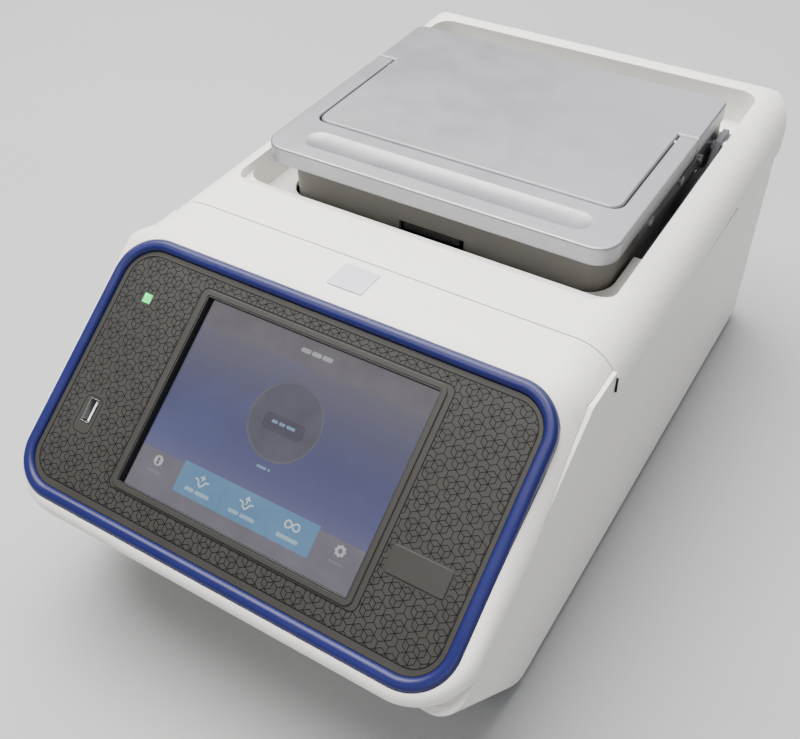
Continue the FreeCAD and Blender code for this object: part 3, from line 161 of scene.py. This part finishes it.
class Surface:
    """Principled material with procedural variation in the object's own metres."""

    def __init__(self, name, roughness, metallic=0.0, coat=0.0, specular=0.5):
        self.material = bpy.data.materials.new(name)
        self.material.use_nodes = True
        self.tree = self.material.node_tree
        self.shader = next(n for n in self.tree.nodes if n.type == "BSDF_PRINCIPLED")
        self.shader.inputs["Roughness"].default_value = roughness
        self.shader.inputs["Metallic"].default_value = metallic
        self.shader.inputs["Coat Weight"].default_value = coat
        self.shader.inputs["Coat Roughness"].default_value = 0.08
        self.shader.inputs["Specular IOR Level"].default_value = specular
        self.place = self.tree.nodes.new("ShaderNodeTexCoord").outputs["Object"]

    def node(self, kind):
        return self.tree.nodes.new(kind)

    def link(self, a, b):
        self.tree.links.new(a, b)

    def noise(self, scale, stretch=(1, 1, 1), detail=3.0, roughness=0.55):
        mapping = self.node("ShaderNodeMapping")
        mapping.inputs["Scale"].default_value = stretch
        self.link(self.place, mapping.inputs["Vector"])
        noise = self.node("ShaderNodeTexNoise")
        noise.inputs["Scale"].default_value = scale
        noise.inputs["Detail"].default_value = detail
        noise.inputs["Roughness"].default_value = roughness
        self.link(mapping.outputs["Vector"], noise.inputs["Vector"])
        return noise.outputs["Fac"]

    def cells(self, scale, kind="F1"):
        cells = self.node("ShaderNodeTexVoronoi")
        cells.feature = kind
        cells.inputs["Scale"].default_value = scale
        self.link(self.place, cells.inputs["Vector"])
        return cells.outputs["Distance"]

    def spread(self, value, low, high, to_low, to_high):
        ranged = self.node("ShaderNodeMapRange")
        ranged.inputs["From Min"].default_value = low
        ranged.inputs["From Max"].default_value = high
        ranged.inputs["To Min"].default_value = to_low
        ranged.inputs["To Max"].default_value = to_high
        self.link(value, ranged.inputs["Value"])
        return ranged.outputs["Result"]

    def mix(self, fac, first, second):
        mixed = self.node("ShaderNodeMix")
        mixed.data_type = "RGBA"
        for socket, value in (("A_Color", first), ("B_Color", second)):
            target = next(s for s in mixed.inputs if s.identifier == socket)
            if isinstance(value, tuple):
                target.default_value = value
            else:
                self.link(value, target)
        self.link(fac, next(s for s in mixed.inputs if s.identifier == "Factor_Float"))
        return next(s for s in mixed.outputs if s.identifier == "Result_Color")

    def colour(self, fac, first, second, low=0.3, high=0.7):
        self.paint(self.mix(self.spread(fac, low, high, 0, 1), first, second))
        return self

    def paint(self, colour):
        self.link(colour, self.shader.inputs["Base Color"])

    def rough(self, fac, low, high):
        self.link(self.spread(fac, 0.3, 0.7, low, high), self.shader.inputs["Roughness"])
        return self

    def relief(self, height, depth, edge=0.0):
        """Fine relief of the given depth in metres, over edges softened by a radius in metres."""
        bump = self.node("ShaderNodeBump")
        bump.inputs["Strength"].default_value = 1.0
        bump.inputs["Distance"].default_value = depth
        self.link(height, bump.inputs["Height"])
        if edge:
            bevel = self.node("ShaderNodeBevel")
            bevel.samples = 6
            bevel.inputs["Radius"].default_value = edge
            self.link(bevel.outputs["Normal"], bump.inputs["Normal"])
        self.link(bump.outputs["Normal"], self.shader.inputs["Normal"])
        return self

    def glow(self, colour, strength):
        if isinstance(colour, tuple):
            self.shader.inputs["Emission Color"].default_value = colour
        else:
            self.link(colour, self.shader.inputs["Emission Color"])
        self.shader.inputs["Emission Strength"].default_value = strength
        return self


def moulded(name, first, second, roughness, grain, edge=0.0, scale=900, specular=0.5):
    """Moulded plastic: faint clouding in its colour, and a fine even grain."""
    s = Surface(name, roughness, specular=specular)
    s.colour(s.noise(9), first, second)
    s.rough(s.noise(60), roughness - 0.05, roughness + 0.06)
    s.relief(s.noise(scale, detail=2), grain, edge)
    return s.material


def brushed(name, first, second, roughness, stretch, edge=0.0, metallic=1.0):
    """Metal with fine lines along one direction, and a few duller patches."""
    s = Surface(name, roughness, metallic=metallic)
    lines = s.noise(700, stretch=stretch, detail=4)
    s.colour(lines, first, second)
    s.rough(s.noise(40), roughness - 0.06, roughness + 0.10)
    s.relief(lines, 0.000012, edge)
    return s.material


def painted_silver():
    """Satin metallic paint: very fine flakes over a clouded silver."""
    s = Surface("silver_lid", 0.40, metallic=0.75, coat=0.12)
    flakes = s.noise(5200, detail=1)
    clouds = s.mix(s.spread(s.noise(7), 0.3, 0.7, 0, 1), srgb(142, 142, 146), srgb(150, 150, 154))
    s.paint(s.mix(s.spread(flakes, 0.35, 0.8, 0, 0.5), clouds, srgb(192, 192, 197)))
    s.rough(s.noise(50), 0.36, 0.44)
    s.relief(flakes, 0.000006, 0.0007)
    return s.material


def board():
    """Green circuit board with lighter tracks."""
    s = Surface("circuit_board", 0.35, coat=0.3)
    tracks = s.cells(260, "DISTANCE_TO_EDGE")
    s.paint(s.mix(s.spread(tracks, 0.02, 0.06, 0, 1), srgb(70, 130, 80), srgb(22, 74, 44)))
    s.relief(tracks, 0.00003)
    return s.material


def black_glass():
    """Touch glass over the unlit border of the display."""
    s = Surface("display_glass", 0.08, coat=0.6)
    s.colour(s.noise(120), srgb(16, 16, 18), srgb(22, 22, 25))
    s.rough(s.noise(160), 0.05, 0.11)
    return s.material


SCREEN_GLOW = 0.85         # light given off by the picture
SCREEN_HALF = 52 * MM      # half the height over which its colours run
LABEL_GLOW = 0.95
ICON_GLOW = 1.0
STATUS_GLOW = 1.5


def screen():
    """Lit picture: violet-blue, greyer to the top and foot, with faint curls of light."""
    s = Surface("screen_picture", 0.12, coat=0.5)
    along = s.node("ShaderNodeVectorMath")
    along.operation = "DOT_PRODUCT"
    s.link(s.place, along.inputs[0])
    along.inputs[1].default_value = PANEL_UP
    middle = PANEL_ORIGIN.dot(PANEL_UP)
    ramp = s.node("ShaderNodeValToRGB")
    height = s.spread(along.outputs["Value"], middle - SCREEN_HALF, middle + SCREEN_HALF, 0, 1)
    s.link(height, ramp.inputs["Fac"])
    stops = ((0.0, (136, 131, 148)), (0.18, (116, 114, 150)), (0.32, (98, 100, 142)), (0.48, (92, 93, 132)),
             (0.66, (100, 99, 126)), (0.86, (116, 113, 126)), (1.0, (134, 131, 136)))
    while len(ramp.color_ramp.elements) < len(stops):
        ramp.color_ramp.elements.new(0.5)
    for element, (position, colour) in zip(ramp.color_ramp.elements, stops):
        element.position = position
        element.color = srgb(*colour)
    wisps = s.spread(s.noise(26, detail=6, roughness=0.62), 0.50, 0.72, 0, 0.22)
    picture = s.mix(wisps, ramp.outputs["Color"], srgb(104, 118, 176))
    s.paint(s.mix(wisps, srgb(14, 14, 18), srgb(18, 18, 26)))
    s.glow(picture, SCREEN_GLOW)
    s.rough(s.noise(120), 0.08, 0.14)
    return s.material



def lit(name, colour, glow=SCREEN_GLOW, vary=8):
    """Part of the picture on the display, with a slight unevenness of its light."""
    s = Surface(name, 0.12, coat=0.5)
    dim = tuple(max(0, c - vary) for c in colour)
    cloud = s.spread(s.noise(70), 0.3, 0.7, 0, 1)
    s.paint(s.mix(cloud, srgb(14, 14, 16), srgb(20, 20, 24)))
    s.glow(s.mix(cloud, srgb(*dim), srgb(*colour)), glow)
    return s.material


def status_green():
    s = Surface("light_pipe", 0.25, coat=0.5)
    core = s.cells(300)
    glow = s.mix(s.spread(core, 0.1, 0.7, 0, 1), srgb(60, 240, 140), srgb(0, 200, 90))
    s.paint(glow)
    s.glow(glow, STATUS_GLOW)
    return s.material


def light_socket_tongue():
    s = Surface("socket_tongue", 0.4)
    s.colour(s.noise(300), srgb(226, 226, 222), srgb(240, 240, 238))
    s.relief(s.noise(900), 0.00001)
    return s.material


BLACK = (srgb(22, 22, 23), srgb(30, 30, 31))
MATERIALS = {
    "white_plastic": moulded(
        "white_plastic", srgb(238, 235, 229), srgb(243, 240, 234),
        0.42, 0.000010, 0.0006),
    "blue_plastic": moulded(
        "blue_plastic", srgb(22, 25, 80), srgb(28, 31, 90),
        0.36, 0.000006, 0.0004, specular=0.35),
    "bezel_plastic": moulded(
        "bezel_plastic", srgb(49, 47, 44), srgb(55, 53, 50),
        0.50, 0.000014, 0.0005, specular=0.25),
    "display_glass": black_glass(),
    "display_metal": brushed(
        "display_metal", srgb(190, 189, 198), srgb(200, 199, 208),
        0.42, (1, 8, 8), metallic=0.3),
    "light_pipe": status_green(),
    "circuit_board": board(),
    "electronic_parts": moulded(
        "electronic_parts", srgb(40, 40, 44), srgb(58, 58, 62),
        0.5, 0.00001),
    "steel_sheet": brushed(
        "steel_sheet", srgb(168, 170, 172), srgb(184, 186, 188),
        0.40, (1, 12, 12), 0.0003),
    "dark_steel": brushed(
        "dark_steel", srgb(104, 104, 107), srgb(122, 122, 125),
        0.40, (6, 1, 6), 0.0004, 0.8),
    "screw_steel": brushed(
        "screw_steel", srgb(165, 165, 168), srgb(195, 195, 198),
        0.30, (5, 5, 5), 0.0002),
    "black_plastic": moulded("black_plastic", *BLACK, 0.5, 0.00001, 0.0004),
    "foot_rubber": moulded(
        "foot_rubber", srgb(26, 26, 26), srgb(36, 36, 36),
        0.8, 0.00003, 0.0005, scale=500),
    "grey_plastic": moulded(
        "grey_plastic", srgb(104, 101, 97), srgb(111, 108, 104),
        0.5, 0.000012, 0.0006),
    "silver_lid": painted_silver(),
    "block_aluminium": brushed(
        "block_aluminium", srgb(200, 201, 204), srgb(220, 221, 224),
        0.30, (1, 10, 10)),
    "fin_aluminium": brushed(
        "fin_aluminium", srgb(180, 181, 184), srgb(200, 201, 204),
        0.38, (10, 1, 1)),
    "ceramic": moulded("ceramic", srgb(222, 220, 212), srgb(232, 230, 224), 0.6, 0.00001),
    "seal_silicone": moulded(
        "seal_silicone", srgb(196, 196, 190), srgb(206, 206, 200),
        0.6, 0.00002, 0.0004),
    "platen_metal": brushed(
        "platen_metal", srgb(160, 161, 164), srgb(180, 181, 184),
        0.34, (8, 1, 8), 0.0004),
    "insulator": moulded("insulator", srgb(60, 60, 60), srgb(72, 72, 72), 0.6, 0.00003, 0.0004),
    "contact_metal": brushed(
        "contact_metal", srgb(196, 160, 96), srgb(214, 180, 116),
        0.3, (4, 1, 4)),
}

for part in frame["record"]["subparts"]:
    node = frame["nodes"][part["node"]]
    node.data.materials.clear()
    node.data.materials.append(MATERIALS[part["material_slot"]])

tongue = frame["nodes"]["front_usb_tongue"]
tongue.data.materials.clear()
tongue.data.materials.append(light_socket_tongue())

# ---- picture on the display ----------------------------------------------------------------------------

LAYER = 0.05               # each layer of the picture stands this far above the one below
PICTURE_RISE = 0.02        # the picture itself lies this far above the glass


def layer(count):
    """Low and high faces of a piece of the picture on the given layer."""
    return GLASS_FACE - LAYER, GLASS_FACE + LAYER * count


SCREEN_X, SCREEN_V = 68.2, 51.8
HEADER_V = 38.6
STRIP_V = -29.8
DIAL = (0.0, 9.0, 20.7)
BAR = (-41.0, 41.0, -44.4, -28.2)
TILES = (-27.4, 0.2, 27.4)
ICON_V = -34.2
LABEL_V = -40.4
END_ICONS = (-55.5, 55.0)   # middles of the round buttons at both ends
END_ICON_V = -34.5


def bar_outline(x, v, width, height):
    radius = min(width, height) * 0.3
    return rounded(x - width / 2, x + width / 2, v - height / 2, v + height / 2, radius, 3)


def words(bm, x, v, widths, height, low, high, gap=1.0):
    """Row of short bars that stands in for a line of writing."""
    left = x - (sum(widths) + gap * (len(widths) - 1)) / 2
    for width in widths:
        prism(bm, bar_outline(left + width / 2, v, width, height), low, high)
        left += width + gap


def screen_band(low, high):
    """Outline across the whole picture between two heights."""
    return rounded(-SCREEN_X, SCREEN_X, low, high, 0.6, 3)


def picture(bm):
    prism(bm, screen_band(-SCREEN_V, SCREEN_V), GLASS_FACE - LAYER, GLASS_FACE + PICTURE_RISE)


def header(bm):
    prism(bm, screen_band(HEADER_V, SCREEN_V), *layer(1))


def lower_strip(bm):
    prism(bm, screen_band(-SCREEN_V, STRIP_V), *layer(1))


def dial(bm):
    prism(bm, circle(*DIAL, 72), *layer(1))


def dial_ring(bm):
    x, v, radius = DIAL
    ribbon(bm, circle(x, v, radius - 0.6, 72), 1.0, *layer(2), closed=True)


def dial_plate(bm):
    prism(bm, bar_outline(0.3, 6.8, 24, 8.5), *layer(2))


def tile_bar(bm):
    prism(bm, rounded(BAR[0], BAR[1], BAR[2], BAR[3], 0.5, 3), *layer(2))


def tile_seams(bm):
    for x in (-13.6, 13.8):
        prism(bm, bar_outline(x, (BAR[2] + BAR[3]) / 2, 0.25, BAR[3] - BAR[2] - 3), *layer(3))


def valley(bm, x, v):
    """Line that dips between two shoulders."""
    path = [(x - 4.2, v + 0.2), (x - 2.8, v + 0.2)]
    path += [(x - 2.0, v - 0.4), (x - 1.2, v - 2.0), (x, v - 2.9)]
    path += [(x + 1.2, v - 2.0), (x + 2.0, v - 0.4)]
    path += [(x + 2.8, v + 0.2), (x + 4.2, v + 0.2)]
    ribbon(bm, path, 0.75, *layer(4))


def loop_icon(bm, x, v):
    """Closed double loop lying on its side."""
    path = []
    for i in range(40):
        t = 2 * math.pi * i / 40
        stretch = 4.0 / (1 + math.sin(t) ** 2)
        path.append((x + stretch * math.cos(t), v + 1.25 * stretch * math.sin(t) * math.cos(t)))
    ribbon(bm, path, 0.8, *layer(4), closed=True)


def icons(bm):
    plus, up, loop = TILES
    valley(bm, plus, ICON_V)
    prism(bm, bar_outline(plus, ICON_V + 1.6, 0.7, 3.0), *layer(4))
    prism(bm, bar_outline(plus, ICON_V + 1.6, 3.0, 0.7), *layer(5))
    valley(bm, up, ICON_V)
    prism(bm, bar_outline(up, ICON_V + 1.2, 0.7, 3.6), *layer(4))
    ribbon(bm, [(up - 1.3, ICON_V + 1.6), (up, ICON_V + 3.1), (up + 1.3, ICON_V + 1.6)], 0.7, *layer(5))
    loop_icon(bm, loop, ICON_V + 0.2)


def tile_labels(bm):
    for x, widths in zip(TILES, ((5.4, 8.6), (6.0, 8.6), (12.4,))):
        words(bm, x, LABEL_V, widths, 1.9, *layer(4))


def small_icons(bm):
    """Round buttons at both ends of the lower strip: a disc, and a cog with eight teeth."""
    left, right = END_ICONS
    prism(bm, circle(left, END_ICON_V, 2.7, 28), *layer(3))
    ribbon(bm, circle(right, END_ICON_V, 1.9, 28), 1.3, *layer(3), closed=True)
    for i in range(8):
        angle = math.radians(45 * i)
        tooth = circle(right + 2.6 * math.cos(angle), END_ICON_V + 2.6 * math.sin(angle), 0.45, 8)
        prism(bm, tooth, *layer(4))


def small_icon_cores(bm):
    """Dark head and shoulders on the left button."""
    x = END_ICONS[0]
    prism(bm, circle(x, END_ICON_V + 0.8, 0.75, 16), *layer(4))
    prism(bm, bar_outline(x, END_ICON_V - 1.0, 1.5, 1.7), *layer(4))


def faint_labels(bm):
    for x, widths in zip(END_ICONS, ((4.0, 2.4), (8.0,))):
        words(bm, x, LABEL_V, widths, 1.2, *layer(3))


def blue_labels(bm):
    words(bm, 0.0, -15.4, (5.6, 1.2), 1.3, *layer(3))
    words(bm, 0.0, 7.4, (3.4, 3.4, 5.0), 1.6, *layer(3))


def header_label(bm):
    words(bm, 0.0, 45.6, (5.6, 5.6, 5.6), 2.3, *layer(3), gap=0.8)


SCREEN_PIECES = (
    ("screen_picture", picture, screen()),
    ("screen_header", header, lit("screen_header", (122, 118, 124))),
    ("screen_lower_strip", lower_strip, lit("screen_lower_strip", (128, 124, 134))),
    ("screen_dial", dial, lit("screen_dial", (104, 102, 114))),
    ("screen_dial_ring", dial_ring, lit("screen_dial_ring", (114, 112, 124))),
    ("screen_dial_plate", dial_plate, lit("screen_dial_plate", (92, 91, 102))),
    ("screen_tile_bar", tile_bar, lit("screen_tile_bar", (112, 156, 194))),
    ("screen_tile_seams", tile_seams, lit("screen_tile_seams", (102, 144, 184))),
    ("screen_icons", icons, lit("screen_icons", (208, 222, 226), ICON_GLOW)),
    ("screen_tile_labels", tile_labels, lit("screen_tile_labels", (166, 196, 214), LABEL_GLOW)),
    ("screen_small_icons", small_icons, lit("screen_small_icons", (196, 194, 198), LABEL_GLOW)),
    ("screen_small_icon_cores", small_icon_cores, lit("screen_small_icon_cores", (112, 108, 118))),
    ("screen_faint_labels", faint_labels, lit("screen_faint_labels", (142, 138, 148))),
    ("screen_blue_labels", blue_labels, lit("screen_blue_labels", (142, 170, 206))),
    ("screen_header_label", header_label, lit("screen_header_label", (186, 186, 190))),
)
for name, build, material in SCREEN_PIECES:
    piece(name, build, material)

# ---- printed line pattern of the bezel -----------------------------------------------------------------

LINE_LOW, LINE_HIGH = BEZEL_FACE - 0.12, BEZEL_FACE + 0.05
LATTICE_START = Vector((95.95, 40.25))
LATTICE_A = Vector((2.771, 1.6))
LATTICE_B = Vector((0.0, 3.2))
REPEATS = ((1, -5), (-4, -1))
AROUND = ((1, 0), (0, 1), (-1, 1), (-1, 0), (0, -1), (1, -1))
CUBES = ((1, -1), (3, -2), (2, -3))
SPOKES = ((-1, 1), (1, 0), (0, -1))
HEXAGONS = CUBES + ((0, -1), (3, -1), (3, -4), (1, 0), (1, -3), (4, -3))
DOTS = ((0, 0), (2, -1), (1, -2), (3, -3), (2, -4), (4, -2))
LINE_WIDTH = 0.36
FIELD = (-122.4, 118.8, -66.7, 61.8, 14.0)
WINDOW = (-75.0, 75.0, -56.6, 56.45, 4.0)
SOCKET_FIELD = (-112.4, -98.0, -41.0, -17.5, 5.0)
PLATE_FIELD = (78.4, 110.4, -34.1, -19.7, 1.8)
LIGHT_FIELD = (-108.0, -101.2, 35.1, 41.9, 1.0)


def inside(point, field):
    """Whether a point is in a rounded rectangle."""
    x0, x1, v0, v1, radius = field
    dx = max(x0 + radius - point.x, 0, point.x - (x1 - radius))
    dv = max(v0 + radius - point.y, 0, point.y - (v1 - radius))
    return math.hypot(dx, dv) <= radius


def printed(point):
    if not inside(point, FIELD):
        return False
    return not any(inside(point, field) for field in (WINDOW, SOCKET_FIELD, PLATE_FIELD, LIGHT_FIELD))


def lattice(i, j):
    return LATTICE_START + LATTICE_A * i + LATTICE_B * j


def cell_edges():
    edges = set()
    for ci, cj in HEXAGONS:
        ring = [(ci + i, cj + j) for i, j in AROUND]
        for a, b in zip(ring, ring[1:] + ring[:1]):
            edges.add(frozenset((a, b)))
    for ci, cj in CUBES:
        for i, j in SPOKES:
            edges.add(frozenset(((ci, cj), (ci + i, cj + j))))
    return edges


def shifts():
    """Translations of the cell that reach the printed field."""
    (ai, aj), (bi, bj) = REPEATS
    for m in range(-60, 61):
        for n in range(-60, 61):
            i, j = m * ai + n * bi, m * aj + n * bj
            at = lattice(i, j)
            if -150 < at.x < 150 and -95 < at.y < 95:
                yield i, j


def clipped(start, end):
    """The printed stretch of a line, or nothing."""
    steps = 10
    kept = [k for k in range(steps + 1) if printed(start.lerp(end, k / steps))]
    if len(kept) < 2:
        return None
    return start.lerp(end, kept[0] / steps), start.lerp(end, kept[-1] / steps)


def bezel_lines(bm):
    wanted = set()
    cell = cell_edges()
    for i, j in shifts():
        for edge in cell:
            wanted.add(frozenset((a + i, b + j) for a, b in edge))
    for edge in sorted(tuple(sorted(e)) for e in wanted):
        run = clipped(lattice(*edge[0]), lattice(*edge[1]))
        if run is not None:
            ribbon(bm, [tuple(run[0]), tuple(run[1])], LINE_WIDTH, LINE_LOW, LINE_HIGH)


def bezel_dots(bm):
    places = {(a + i, b + j) for i, j in shifts() for a, b in DOTS}
    for place in sorted(places):
        at = lattice(*place)
        if printed(at):
            prism(bm, circle(at.x, at.y, 0.42, 8), LINE_LOW, LINE_HIGH + 0.02)


def outline_of(field, grow=0.0):
    x0, x1, v0, v1, radius = field
    return rounded(x0 - grow, x1 + grow, v0 - grow, v1 + grow, radius + grow, 10)


def bezel_outlines(bm):
    ribbon(bm, outline_of(FIELD), 0.5, LINE_LOW, LINE_HIGH + 0.04, closed=True)
    ribbon(bm, outline_of(WINDOW), 0.5, LINE_LOW, LINE_HIGH + 0.04, closed=True)


def socket_outline(bm):
    ribbon(bm, outline_of(SOCKET_FIELD, -1.6), 0.35, LINE_LOW, LINE_HIGH + 0.04, closed=True)


OPENING = (-70.6, 69.0, -52.8, 52.8, 1.5)


def display_shade_liner(bm):
    """Black wall round the inside of the display opening: painted shade of the gap between frame and
    screen.
    """
    ribbon(bm, outline_of(OPENING, -0.45), 0.8, GLASS_FACE - LAYER, BEZEL_FACE + 0.45, closed=True)


INK = moulded("bezel_ink", srgb(10, 10, 10), srgb(15, 15, 15), 0.6, 0.000006, specular=0.15)
piece("bezel_lines", bezel_lines, INK)
piece("bezel_dots", bezel_dots, INK)
piece("bezel_outlines", bezel_outlines, INK)
piece("socket_outline", socket_outline, INK)
piece("display_shade_liner", display_shade_liner, MATERIALS["black_plastic"])

# ---- ledges that close the enclosure under the lower corners of the front cover ------------------------

LEDGE = (92.0, 133.2, -79.2, -36.0, 11.7)      # right-hand ledge in the plane of the panel
LEDGE_FACE = -11.4         # just under the lower edge of the front cover's side
LEDGE_THICKNESS = 1.8


def corner_ledges(bm):
    right = outline_of(LEDGE)
    left = [(-x, v) for x, v in reversed(right)]
    for outline in (right, left):
        prism(bm, outline, LEDGE_FACE - LEDGE_THICKNESS, LEDGE_FACE)


piece("corner_ledges", corner_ledges, MATERIALS["white_plastic"])

# ---- black strip in the seam across the top, painted shade of the open gap -----------------------------

COVER_HALF_WIDTH = 136.0
COVER_TOP = 178.0
SHOULDER = 24.0
SEAM_Y = -64.6
SEAM_FOOT = 163.0


def seam_shade_strip(bm):
    """Black strip that follows the covers' section, a little under their surface: painted shade in the
    seam's gap.
    """
    depth, thick, half_gap = 0.3, 1.6, 0.27
    rows = []
    for inset in (depth, depth + thick):
        side, top, radius = COVER_HALF_WIDTH - inset, COVER_TOP - inset, SHOULDER - inset
        path = [(side, SEAM_FOOT)]
        path += arc(side - radius, top - radius, radius, 0, 90, 10)
        path += [(-x, z) for x, z in reversed(path)]
        rows.append(path)
    count = len(rows[0])
    rings = []
    for (xo, zo), (xi, zi) in zip(*rows):
        rings.append([bm.verts.new(Vector((x, y, z)) * MM) for x, y, z in (
            (xo, SEAM_Y - half_gap, zo), (xo, SEAM_Y + half_gap, zo),
            (xi, SEAM_Y + half_gap, zi), (xi, SEAM_Y - half_gap, zi))])
    for a, b in zip(rings, rings[1:]):
        for k in range(4):
            n = (k + 1) % 4
            bm.faces.new((a[k], b[k], b[n], a[n]))
    bm.faces.new(rings[0])
    bm.faces.new(list(reversed(rings[count - 1])))


piece("seam_shade_strip", seam_shade_strip, MATERIALS["black_plastic"])

# ---- studio --------------------------------------------------------------------------------------------

FLOOR_SIZE = 4.0
FLOOR_DROP = 0.0005        # keeps the floor clear of the feet


def floor():
    bm = bmesh.new()
    bmesh.ops.create_grid(bm, x_segments=8, y_segments=8, size=FLOOR_SIZE)
    mesh = bpy.data.meshes.new("floor")
    bm.to_mesh(mesh)
    bm.free()
    s = Surface("floor", 0.6)
    s.colour(s.noise(3), srgb(168, 168, 168), srgb(173, 173, 173))
    mesh.materials.append(s.material)
    obj = bpy.data.objects.new("floor", mesh)
    obj.location = (0, 0, -FLOOR_DROP)
    bpy.context.scene.collection.objects.link(obj)


def area_light(name, place, target, size, power, colour):
    """Soft box at a place, turned to a target."""
    light = bpy.data.lights.new(name, "AREA")
    light.shape = "RECTANGLE"
    light.size, light.size_y = size
    light.energy = power
    light.color = colour
    obj = bpy.data.objects.new(name, light)
    obj.location = place
    obj.rotation_euler = (Vector(target) - Vector(place)).to_track_quat("-Z", "Y").to_euler()
    bpy.context.scene.collection.objects.link(obj)


# name, place, target, width and depth, power, colour
LIGHTS = (
    ("overhead", (-0.5, 0.2, 1.7), (0, 0, 0.1), (1.7, 1.7), 112, (1.0, 0.995, 0.98)),
    ("fill", (0.9, -1.5, 0.9), (0, 0, 0.1), (1.6, 1.0), 9, (0.95, 0.97, 1.0)),
    ("rear", (0.2, 1.9, 1.3), (0, 0.1, 0.1), (2.0, 1.0), 14, (0.97, 0.98, 1.0)),
)
WORLD_COLOUR = (0.92, 0.95, 1.0, 1)
WORLD_STRENGTH = 0.30


def studio():
    """Pale floor, three soft boxes and an even sky."""
    floor()
    for light in LIGHTS:
        area_light(*light)
    world = bpy.data.worlds.new("studio")
    world.use_nodes = True
    background = world.node_tree.nodes["Background"]
    background.inputs["Color"].default_value = WORLD_COLOUR
    background.inputs["Strength"].default_value = WORLD_STRENGTH
    bpy.context.scene.world = world


AZIMUTH = math.radians(32.4)       # from straight ahead, towards the right
DOWN = math.radians(42.96)
ROLL = math.radians(-1.40)
CAMERA_PLACE = (0.2331, -0.4097, 0.4922)
LENS = 45.6
SENSOR = 36


def camera():
    """Camera that looks down at the front right corner, with everything in focus."""
    back = Vector((math.sin(AZIMUTH) * math.cos(DOWN), -math.cos(AZIMUTH) * math.cos(DOWN), math.sin(DOWN)))
    level = Vector((math.cos(AZIMUTH), math.sin(AZIMUTH), 0))
    upright = back.cross(level)
    right = level * math.cos(ROLL) + upright * math.sin(ROLL)
    up = back.cross(right)
    data = bpy.data.cameras.new("camera")
    data.lens = LENS
    data.sensor_width = SENSOR
    data.clip_start = 0.01
    obj = bpy.data.objects.new("camera", data)
    turn = Matrix((right, up, back)).transposed().to_4x4()
    obj.matrix_world = Matrix.Translation(CAMERA_PLACE) @ turn
    bpy.context.scene.collection.objects.link(obj)
    bpy.context.scene.camera = obj


studio()
camera()
